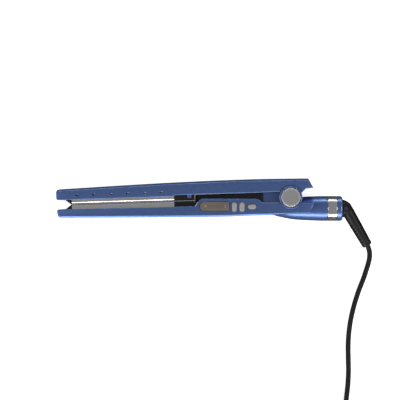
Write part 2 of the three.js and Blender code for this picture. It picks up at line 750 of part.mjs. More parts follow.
addPiece(ironGroup, 'cord_lead', cordLead(), RUBBER);
addPiece(ironGroup, 'cord_coil', cordCoil(), RUBBER);
addPiece(ironGroup, 'cord_tail', tubeAlong(route(CORD_TAIL), CORD_R, 6), RUBBER);
addPiece(ironGroup, 'cord_tie', cordTie(), BLACK);
addPiece(ironGroup, 'plug_body', plugBody(), RUBBER);
addPiece(ironGroup, 'plug_blade_left', plugBlade(-6.35), BRASS);
addPiece(ironGroup, 'plug_blade_right', plugBlade(6.35), BRASS);

export default ironGroup;
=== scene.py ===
# %% [markdown]
# A flat iron: two long arms on one hinge, a round handle and a cord on a swivel.
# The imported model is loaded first. It is a fixed frame: its pieces stay where they are, and
# every new piece is placed from it. Blender's lengths are metres, and MM turns millimetres into
# them.

# %% The fixed frame
import math

import bmesh
import bpy
from mathutils import Matrix, Vector


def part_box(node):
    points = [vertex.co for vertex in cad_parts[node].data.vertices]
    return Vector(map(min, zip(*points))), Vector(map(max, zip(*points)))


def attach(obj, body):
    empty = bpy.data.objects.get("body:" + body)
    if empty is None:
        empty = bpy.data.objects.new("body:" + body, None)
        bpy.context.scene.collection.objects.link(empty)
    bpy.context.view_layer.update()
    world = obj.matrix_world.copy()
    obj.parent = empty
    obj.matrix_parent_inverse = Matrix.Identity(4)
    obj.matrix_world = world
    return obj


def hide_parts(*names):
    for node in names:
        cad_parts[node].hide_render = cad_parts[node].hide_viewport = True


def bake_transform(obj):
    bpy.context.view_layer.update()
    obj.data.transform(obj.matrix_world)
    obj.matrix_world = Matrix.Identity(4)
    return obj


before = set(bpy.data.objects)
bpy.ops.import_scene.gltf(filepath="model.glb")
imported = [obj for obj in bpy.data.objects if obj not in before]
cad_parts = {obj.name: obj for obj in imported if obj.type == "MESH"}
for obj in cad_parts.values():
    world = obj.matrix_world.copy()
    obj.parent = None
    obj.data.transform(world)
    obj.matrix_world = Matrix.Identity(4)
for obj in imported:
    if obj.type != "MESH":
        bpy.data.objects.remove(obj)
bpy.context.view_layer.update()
MM = 0.001

# %% [markdown]
# A few places are read from the frame once, because many pieces share them. The hinge turns about
# the Z axis at the origin, and the round handle lies along X. Both arms are drawn in a frame of
# their own, turned a little about the hinge, in which x runs along the arms.

# %% Shared places
SIDE_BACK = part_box("upper_shell")[0].z
SIDE_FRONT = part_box("upper_shell")[1].z
MID = (SIDE_BACK + SIDE_FRONT) / 2
HANDLE_R = (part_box("chrome_ring")[1].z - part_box("chrome_ring")[0].z) / 2
HANDLE_Y = (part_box("chrome_ring")[0].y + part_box("chrome_ring")[1].y) / 2
ARM_TILT = math.radians(1.87)
WALL = 2 * MM
GAP = 0.3 * MM
RIM_ROUND = 0.9 * MM
print("arms from z", round(SIDE_BACK / MM, 2), "to", round(SIDE_FRONT / MM, 2), "mm")
print("handle radius", round(HANDLE_R / MM, 2), "at y", round(HANDLE_Y / MM, 2), "mm")

# %% [markdown]
# The camera looks straight down on the iron, which lies on its side on a pale table. A long lens
# keeps the long arms from spreading, as a catalogue picture does. The distance follows from the
# lens and from how much of the table the picture holds from left to right.

# %% Camera
FRAME_WIDTH = 463.5 * MM
LENS = 150
SENSOR = 36
LOOK_X = -104.3 * MM
LOOK_Y = -3.0 * MM
bpy.ops.object.camera_add(
    location=(LOOK_X, LOOK_Y, MID + FRAME_WIDTH * LENS / SENSOR), rotation=(0, 0, 0)
)
camera = bpy.context.object
camera.name = "camera"
camera.data.lens = LENS
camera.data.sensor_width = SENSOR
bpy.context.scene.camera = camera
print("camera height", round(camera.location.z, 3), "m")

# %% [markdown]
# The floor is a plain pale table top. A shiny body lying on a bright table mirrors the table and
# looks flat, so black flags stand round it in a studio. The same is done here in a simpler way: the
# table is white where the camera sees it, and dark grey for every other ray. Its glow keeps the
# shadow soft and pale.

# %% Floor
bpy.ops.object.select_all(action="DESELECT")
FLOOR_SIZE = 8
FLOOR_DROP = 0.2 * MM
bpy.ops.mesh.primitive_plane_add(size=FLOOR_SIZE, location=(0, 0, -FLOOR_DROP))
floor = bpy.context.object
floor.name = "floor"
FLOOR_SEEN = (0.86, 0.86, 0.86, 1)
FLOOR_MIRRORED = (0.10, 0.10, 0.10, 1)
FLOOR_GLOW = 0.72
GLOW_SEEN = (1, 1, 1, 1)
GLOW_MIRRORED = (0, 0, 0, 1)
# The colour sockets of a Mix node share their names with others, so they are found by number.
MIX_A, MIX_B, MIX_RESULT = 6, 7, 2


def floor_finish():
    material = bpy.data.materials.new("floor_white")
    material.use_nodes = True
    nodes, links = material.node_tree.nodes, material.node_tree.links
    shader = nodes["Principled BSDF"]
    shader.inputs["Roughness"].default_value = 0.9
    shader.inputs["Emission Strength"].default_value = FLOOR_GLOW
    path = nodes.new("ShaderNodeLightPath")
    looks = (
        ("Base Color", FLOOR_MIRRORED, FLOOR_SEEN),
        ("Emission Color", GLOW_MIRRORED, GLOW_SEEN),
    )
    for socket, hidden, seen in looks:
        mix = nodes.new("ShaderNodeMix")
        mix.data_type = "RGBA"
        mix.inputs[MIX_A].default_value = hidden
        mix.inputs[MIX_B].default_value = seen
        links.new(path.outputs["Is Camera Ray"], mix.inputs[0])
        links.new(mix.outputs[MIX_RESULT], shader.inputs[socket])
    return material


floor.data.materials.append(floor_finish())

# %% [markdown]
# Two long soft boxes run beside the iron. Each one makes one bright band along the round handle and
# a thin bright line along the rounded edges of the arms. strip_low runs on the lower arm's side.
# strip_high runs on the upper arm's side, where it is narrower, weaker and nearer the table. Two
# weak boxes stand past the ends. The room is near white where the camera sees it, and dim for
# every other ray, for the same reason as the table.

# %% Light
AIM = Vector((LOOK_X, HANDLE_Y, MID))
ROOM_SEEN = 0.95
ROOM_MIRRORED = 0.26


def soft_box(name, side, lift, far, size, power):
    """A soft box on one side of the iron, lifted by an angle above the table."""
    lift = math.radians(lift)
    place = AIM + far * (Vector(side) * math.cos(lift) + Vector((0, 0, math.sin(lift))))
    bpy.ops.object.light_add(type="AREA", location=place)
    light = bpy.context.object
    light.name = name
    light.data.shape = "RECTANGLE"
    light.data.size, light.data.size_y = size
    light.data.energy = power
    light.rotation_mode = "QUATERNION"
    light.rotation_quaternion = (place - AIM).to_track_quat("Z", "Y")
    return light


soft_box("strip_low", (0, -1, 0), 22, 1.0, (2.2, 0.40), 15)
soft_box("strip_high", (0, 1, 0), 9, 1.0, (2.2, 0.13), 6.5)
soft_box("head_light", (-1, 0, 0), 40, 1.2, (0.5, 0.5), 4)
soft_box("tail_light", (1, 0, 0), 40, 1.2, (0.5, 0.5), 4)
world = bpy.data.worlds.new("studio")
world.use_nodes = True
backdrop = world.node_tree.nodes["Background"]
backdrop.inputs["Color"].default_value = (1, 1, 1, 1)
eye = world.node_tree.nodes.new("ShaderNodeLightPath")
level = world.node_tree.nodes.new("ShaderNodeMapRange")
level.inputs["To Min"].default_value = ROOM_MIRRORED
level.inputs["To Max"].default_value = ROOM_SEEN
world.node_tree.links.new(eye.outputs["Is Camera Ray"], level.inputs["Value"])
world.node_tree.links.new(level.outputs["Result"], backdrop.inputs["Strength"])
bpy.context.scene.world = world
bpy.context.scene.view_settings.view_transform = "Standard"

# %% [markdown]
# Small hand tools come next. Each one wraps an operator that would be a key press in the window.
# Loading the frame leaves its pieces selected, so everything is deselected before each step.

# %% Selecting
def object_mode():
    if bpy.context.object and bpy.context.object.mode != "OBJECT":
        bpy.ops.object.mode_set(mode="OBJECT")
    bpy.ops.object.select_all(action="DESELECT")


def take(piece):
    object_mode()
    piece.select_set(True)
    bpy.context.view_layer.objects.active = piece
    return piece


def edit(piece):
    take(piece)
    bpy.ops.object.mode_set(mode="EDIT")


def choose(kind, test):
    """Selects the vertices, edges or faces of the piece in edit mode that pass a test."""
    bpy.ops.mesh.select_mode(type=kind)
    bpy.ops.mesh.select_all(action="DESELECT")
    mesh = bmesh.from_edit_mesh(bpy.context.object.data)
    parts = {"VERT": mesh.verts, "EDGE": mesh.edges, "FACE": mesh.faces}[kind]
    found = [part for part in parts if test(part)]
    for part in found:
        part.select_set(True)
    mesh.select_flush_mode()
    bmesh.update_edit_mesh(bpy.context.object.data)
    return len(found)


def place_in_mesh(piece):
    take(piece)
    bpy.ops.object.transform_apply(location=True, rotation=True, scale=True)
    return piece


# %% [markdown]
# An outline is drawn the way it is by hand: one vertex is extruded from corner to corner, the loop
# is closed, and the face is pulled to its thickness. Round stretches are arcs and curves, so that
# each outline needs only the points that its shape has.

# %% Drawing outlines
def trace(name, corners):
    """One flat face whose rim runs through the corners, which are 3-D points."""
    object_mode()
    corners = [Vector(corner) for corner in corners]
    pairs = zip(corners, [corners[-1], *corners])
    corners = [corner for corner, before in pairs if (corner - before).length > 1e-6]
    bpy.ops.mesh.primitive_plane_add(size=MM, location=(0, 0, 0))
    piece = bpy.context.object
    piece.name = piece.data.name = name
    bpy.ops.object.mode_set(mode="EDIT")
    bpy.ops.mesh.select_mode(type="VERT")
    bpy.ops.mesh.select_all(action="SELECT")
    bpy.ops.mesh.merge(type="CENTER")
    bpy.ops.transform.translate(value=corners[0])
    for here, there in zip(corners, corners[1:]):
        bpy.ops.mesh.extrude_vertices_move(TRANSFORM_OT_translate={"value": there - here})
    bpy.ops.mesh.select_all(action="SELECT")
    bpy.ops.mesh.edge_face_add()
    return piece


def pull(vector):
    bpy.ops.mesh.select_all(action="SELECT")
    bpy.ops.mesh.extrude_region_move(TRANSFORM_OT_translate={"value": vector})
    bpy.ops.mesh.select_all(action="SELECT")
    bpy.ops.mesh.normals_make_consistent(inside=False)


def arc(centre, radius, start, end, steps):
    angles = [math.radians(start + (end - start) * i / steps) for i in range(steps + 1)]
    return [(centre[0] + radius * math.cos(a), centre[1] + radius * math.sin(a)) for a in angles]


def bend(first, corner, last, steps=6):
    """A quadratic curve from first to last that leans towards the corner."""
    points = []
    for i in range(steps + 1):
        t = i / steps
        points.append(tuple(
            (1 - t) ** 2 * a + 2 * t * (1 - t) * c + t * t * b
            for a, c, b in zip(first, corner, last)
        ))
    return points


def flowing(points, steps=8):
    """A smooth curve through all the points, in two or three dimensions."""
    points = [Vector(point) for point in points]
    ends = [2 * points[0] - points[1], *points, 2 * points[-1] - points[-2]]
    line = []
    for a, b, c, d in zip(ends, ends[1:], ends[2:], ends[3:]):
        knots = [0.0]
        for p, q in ((a, b), (b, c), (c, d)):
            knots.append(knots[-1] + max((q - p).length, 1e-9) ** 0.5)
        for i in range(steps):
            t = knots[1] + (knots[2] - knots[1]) * i / steps
            line.append(between(t, knots, (a, b, c, d)))
    return [*line, points[-1]]


def between(t, knots, points):
    for span in (1, 2):
        points = [
            points[i] * ((knots[i + span] - t) / (knots[i + span] - knots[i]))
            + points[i + 1] * ((t - knots[i]) / (knots[i + span] - knots[i]))
            for i in range(len(points) - 1)
        ]
    return points[0].lerp(points[1], (t - knots[1]) / (knots[2] - knots[1]))


def in_mm(points):
    return [tuple(value * MM for value in point) for point in points]


print("drawing tools ready")

# %% [markdown]
# The finishes come before the pieces, so that each piece can be given its own as it is finished.
# Effects that several materials use are shader groups with named values: a moulded grain, streaks
# from polishing, rings from turning, wear on edges, dust and a weave. All of them read Object
# coordinates, which lie still on the piece.

# %% Shader groups
def add_node(tree, kind, settings=(), values=()):
    """Adds a node, sets its settings, and fills its inputs with numbers or with other sockets."""
    made = tree.nodes.new(kind)
    for name, value in dict(settings).items():
        setattr(made, name, value)
    for name, value in dict(values).items():
        if isinstance(value, bpy.types.NodeSocket):
            tree.links.new(value, made.inputs[name])
        else:
            made.inputs[name].default_value = value
    return made


def sum_of(tree, operation, *terms, clamp=False):
    settings = {"operation": operation, "use_clamp": clamp}
    return add_node(tree, "ShaderNodeMath", settings, dict(enumerate(terms))).outputs[0]


def shader_group(name, build, inputs, outputs):
    """A group whose build function takes the tree and its inputs and returns its outputs."""
    tree = bpy.data.node_groups.new(name, "ShaderNodeTree")
    for label, value in inputs.items():
        socket = tree.interface.new_socket(label, in_out="INPUT", socket_type="NodeSocketFloat")
        socket.default_value = value
    for label in outputs:
        tree.interface.new_socket(label, in_out="OUTPUT", socket_type="NodeSocketFloat")
    enter = tree.nodes.new("NodeGroupInput")
    leave = tree.nodes.new("NodeGroupOutput")
    for label, socket in zip(outputs, build(tree, enter.outputs)):
        tree.links.new(socket, leave.inputs[label])
    print("group", name, list(inputs), "->", outputs)
    return tree


def object_place(tree):
    return tree.nodes.new("ShaderNodeTexCoord").outputs["Object"]


def noise(tree, place, scale, detail=2.0):
    values = {"Vector": place, "Scale": scale, "Detail": detail, "Roughness": 0.6}
    return add_node(tree, "ShaderNodeTexNoise", values=values).outputs["Fac"]


# %% [markdown]
# The grain is a fine noise for height and a slow one for tone, so that a large moulding isn't one
# even colour. Edge wear compares the true normal with one that a rounded edge would have.

# %% Grain, edge wear and dust
def build_grain(tree, given):
    place = object_place(tree)
    slow = sum_of(tree, "MULTIPLY", given["Scale"], 0.035)
    return noise(tree, place, given["Scale"]), noise(tree, place, slow, 3.0)


def build_edge_wear(tree, given):
    rounded = add_node(tree, "ShaderNodeBevel", {"samples": 4}, {"Radius": given["Reach"]})
    true = tree.nodes.new("ShaderNodeNewGeometry").outputs["Normal"]
    values = {0: rounded.outputs["Normal"], 1: true}
    alike = add_node(tree, "ShaderNodeVectorMath", {"operation": "DOT_PRODUCT"}, values)
    turn = sum_of(tree, "SUBTRACT", 1.0, alike.outputs["Value"])
    broken = noise(tree, object_place(tree), given["Scale"], 3.0)
    raised = sum_of(tree, "MULTIPLY", turn, sum_of(tree, "MULTIPLY", broken, 14.0))
    return (sum_of(tree, "MULTIPLY", raised, given["Amount"], clamp=True),)


def build_dust(tree, given):
    normal = tree.nodes.new("ShaderNodeNewGeometry").outputs["Normal"]
    up = add_node(tree, "ShaderNodeSeparateXYZ", values={"Vector": normal}).outputs["Z"]
    specks = noise(tree, object_place(tree), given["Scale"], 4.0)
    sparse = sum_of(tree, "MULTIPLY_ADD", specks, 5.0, -2.9, clamp=True)
    facing = sum_of(tree, "MULTIPLY", up, sparse, clamp=True)
    return (sum_of(tree, "MULTIPLY", facing, given["Amount"]),)


GRAIN = shader_group("moulded_grain", build_grain, {"Scale": 900.0}, ["Height", "Tone"])
EDGE_WEAR = shader_group(
    "edge_wear", build_edge_wear, {"Amount": 0.3, "Reach": 0.0006, "Scale": 220.0}, ["Mask"]
)
DUST = shader_group("dust", build_dust, {"Amount": 0.1, "Scale": 700.0}, ["Mask"])

# %% [markdown]
# Polishing leaves long streaks along the plates, so its noise is stretched along the arm. A turned
# disc has fine rings, which are a noise of the distance from the hinge. A hook-and-loop strap and
# a printed board have a regular weave of two crossing waves.

# %% Streaks, rings and weave
def build_streaks(tree, given):
    settings = {"Vector": object_place(tree), "Rotation": (0, 0, -ARM_TILT), "Scale": (0.015, 1, 1)}
    place = add_node(tree, "ShaderNodeMapping", values=settings).outputs["Vector"]
    fine = noise(tree, place, given["Scale"])
    rare = noise(tree, place, sum_of(tree, "MULTIPLY", given["Scale"], 0.3), 1.0)
    return fine, sum_of(tree, "MULTIPLY_ADD", rare, 9.0, -5.6, clamp=True)


def build_rings(tree, given):
    parts = add_node(tree, "ShaderNodeSeparateXYZ", values={"Vector": object_place(tree)})
    flat = {"X": parts.outputs["X"], "Y": parts.outputs["Y"]}
    flat = add_node(tree, "ShaderNodeCombineXYZ", values=flat).outputs["Vector"]
    radius = add_node(tree, "ShaderNodeVectorMath", {"operation": "LENGTH"}, {0: flat})
    far = add_node(tree, "ShaderNodeCombineXYZ", values={"X": radius.outputs["Value"]})
    return (noise(tree, far.outputs["Vector"], given["Scale"], 3.0),)


def build_weave(tree, given):
    turned_place = {"Vector": object_place(tree), "Rotation": (0, 0, math.radians(-45))}
    place = add_node(tree, "ShaderNodeMapping", values=turned_place).outputs["Vector"]
    waves = []
    for direction in ("X", "Z"):
        values = {"Vector": place, "Scale": given["Scale"], "Distortion": 0.4, "Detail": 1.0}
        settings = {"bands_direction": direction}
        waves.append(add_node(tree, "ShaderNodeTexWave", settings, values).outputs["Fac"])
    return (sum_of(tree, "MULTIPLY", *waves),)


STREAKS = shader_group("polish_streaks", build_streaks, {"Scale": 4000.0}, ["Height", "Scratch"])
RINGS = shader_group("turned_rings", build_rings, {"Scale": 6000.0}, ["Height"])
WEAVE = shader_group("weave", build_weave, {"Scale": 500.0}, ["Height"])

# %% [markdown]
# One function builds every finish from the groups. The base colour moves a little between two
# tones, worn edges and dust are laid over it, and the grain gives roughness and bump. Values that
# are the same all over are set on the shader itself.

# %% Building a finish
FINISHES = {}


def use_group(tree, group, **values):
    made = tree.nodes.new("ShaderNodeGroup")
    made.node_tree = group
    for name, value in values.items():
        made.inputs[name].default_value = value
    return made.outputs


def mix_colour(tree, share, first, second):
    made = add_node(tree, "ShaderNodeMix", {"data_type": "RGBA"}, {"Factor": share})
    for socket, value in ((MIX_A, first), (MIX_B, second)):
        if isinstance(value, bpy.types.NodeSocket):
            tree.links.new(value, made.inputs[socket])
        else:
            made.inputs[socket].default_value = (*value, 1)
    return made.outputs[MIX_RESULT]


def finish(name, light, dark, roughness, metallic=0.0, grain=(900, 0.02), pattern=None,
           wear=(0.25, (0.6, 0.6, 0.6)), dust=0.06, spread=0.12, shader_values=()):
    """light and dark are the two tones, grain is (scale per metre, depth in millimetres)."""
    material = bpy.data.materials.new(name)
    material.use_nodes = True
    tree = material.node_tree
    shader = tree.nodes["Principled BSDF"]
    grain_out = use_group(tree, GRAIN, Scale=grain[0])
    height = grain_out["Height"]
    if pattern:
        height = use_group(tree, pattern[0], Scale=pattern[1])["Height"]
    tone = sum_of(tree, "MULTIPLY_ADD", grain_out["Tone"], 2.4, -0.7, clamp=True)
    colour = mix_colour(tree, tone, light, dark)
    worn = use_group(tree, EDGE_WEAR, Amount=wear[0])["Mask"]
    colour = mix_colour(tree, worn, colour, wear[1])
    dusty = use_group(tree, DUST, Amount=dust)["Mask"]
    colour = mix_colour(tree, dusty, colour, (0.5, 0.49, 0.47))
    tree.links.new(colour, shader.inputs["Base Color"])
    rough = sum_of(tree, "MULTIPLY_ADD", height, spread, roughness - spread / 2)
    rough = sum_of(tree, "ADD", rough, dusty, clamp=True)
    tree.links.new(rough, shader.inputs["Roughness"])
    bump = {"Height": height, "Distance": grain[1] * MM, "Strength": 1.0}
    bump = add_node(tree, "ShaderNodeBump", values=bump)
    tree.links.new(bump.outputs["Normal"], shader.inputs["Normal"])
    shader.inputs["Metallic"].default_value = metallic
    for label, value in dict(shader_values).items():
        shader.inputs[label].default_value = value
    FINISHES[name] = material
    return material


# %% [markdown]
# The casing is blue pearl paint: partly metallic, under a thin clear coat. The parts between the
# arms are plain heat-resistant black plastic.

# %% Casing finishes
BLUE_LIGHT = (0.105, 0.182, 0.43)
BLUE_DARK = (0.09, 0.160, 0.39)
COATED = {"Coat Weight": 0.35, "Coat Roughness": 0.12}
finish("shell_blue", BLUE_LIGHT, BLUE_DARK, 0.33, 0.75, (5200, 0.0015), None,
       (0.2, (0.35, 0.42, 0.62)), 0.03, 0.10, COATED)
finish("inner_black", (0.010, 0.009, 0.008), (0.007, 0.006, 0.006), 0.5, 0.0, (2600, 0.006), None,
       (0.1, (0.05, 0.047, 0.045)), 0.02, 0.1, {"Specular IOR Level": 0.3})
finish("key_grey", (0.44, 0.42, 0.40), (0.39, 0.375, 0.36), 0.35, 0.35, (4000, 0.002), None,
       (0.3, (0.7, 0.69, 0.67)), 0.03)
finish("window_smoke", (0.150, 0.128, 0.105), (0.128, 0.108, 0.088), 0.16, 0.0, (1500, 0.001), None,
       (0.1, (0.3, 0.28, 0.25)), 0.04, 0.06, {"Coat Weight": 1.0, "Coat Roughness": 0.04})
finish("cord_black", (0.008, 0.008, 0.008), (0.005, 0.005, 0.005), 0.42, 0.0, (1800, 0.006), None,
       (0.1, (0.03, 0.03, 0.03)), 0.01, 0.1, {"Specular IOR Level": 0.22})
finish("tie_black", (0.022, 0.022, 0.024), (0.008, 0.008, 0.009), 0.85, 0.0, (1500, 0.25),
       (WEAVE, 330), (0.1, (0.08, 0.08, 0.08)), 0.12, 0.1, {"Sheen Weight": 0.4})

# %% [markdown]
# The bare metals differ in how they were worked. The plates are polished lengthwise, so finely that
# the streaks hardly show. The hinge discs are turned, the ring is plated and smooth, and pins and
# contacts are drawn or stamped.

# %% Metal finishes
finish("plate_mirror", (0.90, 0.88, 0.84), (0.84, 0.82, 0.78), 0.13, 1.0, (1500, 0.00012),
       (STREAKS, 4000), (0.1, (0.9, 0.9, 0.9)), 0.02, 0.06)
finish("cap_satin", (0.52, 0.52, 0.52), (0.48, 0.48, 0.48), 0.42, 1.0, (900, 0.0025),
       (RINGS, 5200), (0.9, (0.85, 0.85, 0.85)), 0.03, 0.14)
finish("ring_chrome", (0.84, 0.83, 0.82), (0.76, 0.75, 0.74), 0.08, 1.0, (2500, 0.0006), None,
       (0.2, (0.9, 0.9, 0.9)), 0.02, 0.06)
finish("steel", (0.52, 0.53, 0.55), (0.40, 0.41, 0.43), 0.32, 1.0, (3000, 0.004), None,
       (0.4, (0.8, 0.8, 0.8)), 0.04)
finish("brass", (0.72, 0.53, 0.24), (0.58, 0.40, 0.16), 0.34, 1.0, (3000, 0.003), None,
       (0.4, (0.9, 0.75, 0.4)), 0.04)
finish("blade_brass", (0.76, 0.60, 0.33), (0.62, 0.47, 0.22), 0.26, 1.0, (3500, 0.003), None,
       (0.5, (0.92, 0.8, 0.5)), 0.03)

# %% [markdown]
# The pieces inside have plain workshop finishes: sintered ceramic, flaked mica, silicone foam and
# a printed board. The lamps glow faintly behind the window.

# %% Inner finishes
finish("ceramic", (0.74, 0.71, 0.64), (0.62, 0.59, 0.52), 0.6, 0.0, (2200, 0.02))
finish("mica", (0.46, 0.36, 0.20), (0.30, 0.23, 0.13), 0.35, 0.0, (900, 0.03))
finish("silicone", (0.42, 0.11, 0.06), (0.33, 0.08, 0.04), 0.7, 0.0, (3200, 0.05))
finish("board_green", (0.03, 0.13, 0.05), (0.015, 0.07, 0.03), 0.4, 0.0, (1200, 0.02),
       (WEAVE, 900))
finish("lamp_amber", (0.33, 0.125, 0.05), (0.27, 0.10, 0.04), 0.3, 0.0, (4000, 0.002))
finish("lamp_olive", (0.15, 0.12, 0.05), (0.13, 0.105, 0.045), 0.3, 0.0, (4000, 0.002))
finish("display_grey", (0.095, 0.082, 0.068), (0.088, 0.075, 0.06), 0.6, 0.0, (4000, 0.001), None,
       (0.0, (0.2, 0.2, 0.2)), 0.0, 0.1, {"Specular IOR Level": 0.2})
for name, strength in (("lamp_amber", 0.06), ("lamp_olive", 0.02)):
    lit = FINISHES[name].node_tree.nodes["Principled BSDF"]
    lit.inputs["Emission Color"].default_value = (0.9, 0.35, 0.08, 1)
    lit.inputs["Emission Strength"].default_value = strength
print("finishes", len(FINISHES))

# %% [markdown]
# The mains cord comes before the other pieces, because its route decides how much room the model
# takes. It leaves the swivel's sleeve, drops onto the table, runs towards the front edge and is put
# away there in a flat coil of four layers with three turns each, held by a strap. The visible
# stretch is a list of points, and the coil is worked out by a loop.

# %% Route of the cord
CORD_D = 6 * MM
SLEEVE_ANGLE = math.radians(60.1)
SLEEVE_DROOP = math.radians(17)
SLEEVE_LENGTH = 51.4 * MM
PIVOT = Vector((65.1 * MM, HANDLE_Y, MID))
SLEEVE_AXIS = Vector((
    math.cos(SLEEVE_ANGLE),
    -math.sin(SLEEVE_ANGLE) * math.cos(SLEEVE_DROOP),
    -math.sin(SLEEVE_ANGLE) * math.sin(SLEEVE_DROOP),
))
CORD_EXIT = PIVOT + SLEEVE_AXIS * SLEEVE_LENGTH
CORD_LEAD = in_mm([
    (92.6, -59.6, 5.2), (93.7, -64, 4.2), (93.9, -68.6, 3.5), (93.4, -73, 3.1), (92.3, -77.5, 3),
    (89.7, -85.8, 3), (86.9, -94.4, 3), (83.4, -103.2, 3), (79.8, -113, 3), (75.8, -126, 3),
    (72.2, -141, 3), (69.8, -157, 3), (68.8, -173, 3), (69, -189, 3), (69.2, -205, 3),
    (68.4, -220, 3), (66.8, -235, 3), (66, -248, 3.6), (66, -260.4, 4.2),
])
CORD_TAIL = in_mm([
    (4.6, -322, 21), (-3, -321.8, 18.4), (-10, -321.2, 15), (-17, -320.5, 11.9),
    (-23.6, -320.1, 9.5), (-29.3, -320, 8.7), (-33, -320, 8.5),
])
COIL_CENTRE = Vector((27, -283, 0)) * MM
COIL_RADII = (39 * MM, 33 * MM, 27 * MM)
COIL_LAYERS = 4
COIL_FLOOR = 4.3 * MM
COIL_TURNS = 11.25
STEPS_PER_TURN = 60
CHANGE_FROM = 3 / 4


def coil_turn(number):
    """Radius and height of one whole turn: inwards on one layer, outwards on the next."""
    layer = number // len(COIL_RADII)
    place = number % len(COIL_RADII)
    if layer % 2:
        place = len(COIL_RADII) - 1 - place
    return COIL_RADII[place], COIL_FLOOR + layer * CORD_D


def coil_route():
    last = COIL_LAYERS * len(COIL_RADII) - 1
    points = []
    for step in range(int(COIL_TURNS * STEPS_PER_TURN) + 1):
        done = step / STEPS_PER_TURN
        number = int(done)
        radius, height = coil_turn(number)
        share = max(0.0, (done - number - CHANGE_FROM) / (1 - CHANGE_FROM))
        if share > 0 and number < last:
            ease = share * share * (3 - 2 * share)
            next_radius, next_height = coil_turn(number + 1)
            radius += (next_radius - radius) * ease
            height += (next_height - height) * ease
        angle = -2 * math.pi * done
        across = Vector((radius * math.cos(angle), radius * math.sin(angle), height))
        points.append(COIL_CENTRE + across)
    return points


coil = coil_route()
lead_in = flowing([CORD_EXIT - SLEEVE_AXIS * 4 * MM, CORD_EXIT, *CORD_LEAD, coil[0], coil[1]], 6)
lead_out = flowing([coil[-2], coil[-1], *CORD_TAIL], 6)
cord_path = [*lead_in[6:-6], *coil, *lead_out[7:]]

# %% [markdown]
# The cord is a curve with a round section, turned into a mesh.

# %% Cord
CORD_SIDES = 4


def tube(name, points, radius, corner_steps):
    object_mode()
    bpy.ops.curve.primitive_nurbs_path_add(location=(0, 0, 0))
    piece = bpy.context.object
    piece.name = piece.data.name = name
    piece.data.splines.clear()
    spline = piece.data.splines.new("POLY")
    spline.points.add(len(points) - 1)
    for knot, point in zip(spline.points, points):
        knot.co = (*point, 1)
    piece.data.dimensions = "3D"
    piece.data.bevel_depth = radius
    piece.data.bevel_resolution = corner_steps
    piece.data.use_fill_caps = True
    bpy.ops.object.convert(target="MESH")
    return take(bpy.context.object)


cord = tube("mains_cord", cord_path, CORD_D / 2, CORD_SIDES)
bpy.ops.object.shade_smooth_by_angle(angle=math.radians(50))
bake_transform(cord)
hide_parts("cord_lead", "cord_coil", "cord_tail")
cord.data.materials.append(FINISHES["cord_black"])
print("cord faces", len(cord.data.polygons))

# %% [markdown]
# Pieces are cut and joined with the Boolean modifier, as a moulder's core cuts a shell. The tool is
# deleted afterwards. Turned pieces are a profile spun round an axis, whose doubled seam is merged
# before the normals are recalculated.

# %% Cutting, joining and turning
LIP_CUT = 0.22


def slab(name, outline, low, high, bevel=0.0, segments=3):
    """An outline in the XY plane given a thickness along Z. A bevel rounds over both rims."""
    piece = trace(name, [(x, y, low) for x, y in outline])
    pull((0, 0, high - low))
    if bevel:
        choose("EDGE", lambda e: abs(e.verts[0].co.z - e.verts[1].co.z) < 1e-7)
        bpy.ops.mesh.bevel(offset=bevel, segments=segments, profile=0.5, affect="EDGES")
    object_mode()
    return piece


def blank(name, outline, leans, shift, depth):
    """A solid outline with part of its edge leaning in near both side faces, and soft rims."""
    ends = (SIDE_BACK, SIDE_FRONT)
    piece = trace(name, [(x, y, SIDE_BACK) for x, y in outline])
    pull((0, 0, SIDE_FRONT - SIDE_BACK))
    for height in (SIDE_BACK + depth, SIDE_FRONT - depth):
        bpy.ops.mesh.select_all(action="SELECT")
        bpy.ops.mesh.bisect(plane_co=(0, 0, height), plane_no=(0, 0, 1))
    for side in ends:
        choose("VERT", lambda v: abs(v.co.z - side) < 1e-6 and leans(v.co / MM))
        bpy.ops.transform.translate(value=(0, shift, 0))
    choose("EDGE", lambda e: any(all(abs(v.co.z - z) < 1e-6 for v in e.verts) for z in ends))
    bpy.ops.mesh.bevel(offset=RIM_ROUND, segments=3, profile=0.5, affect="EDGES")
    object_mode()
    return piece


def bar(name, radius, low, high, x=0.0, y=0.0, sides=64):
    object_mode()
    bpy.ops.mesh.primitive_cylinder_add(
        vertices=sides, radius=radius, depth=high - low, location=(x, y, (low + high) / 2)
    )
    piece = bpy.context.object
    piece.name = name
    return place_in_mesh(piece)


def block(name, low, high):
    object_mode()
    low, high = Vector(low), Vector(high)
    bpy.ops.mesh.primitive_cube_add(size=1, location=(low + high) / 2, scale=high - low)
    piece = bpy.context.object
    piece.name = name
    return place_in_mesh(piece)


def combine(piece, operation, tools):
    for tool in tools:
        take(piece)
        modifier = piece.modifiers.new("shape", "BOOLEAN")
        modifier.operation = operation
        modifier.solver = "MANIFOLD"
        modifier.object = tool
        bpy.ops.object.modifier_apply(modifier="shape")
        bpy.data.objects.remove(tool)
    return piece


def cut(piece, *tools):
    return combine(piece, "DIFFERENCE", tools)


def weld(piece, *others):
    return combine(piece, "UNION", others)


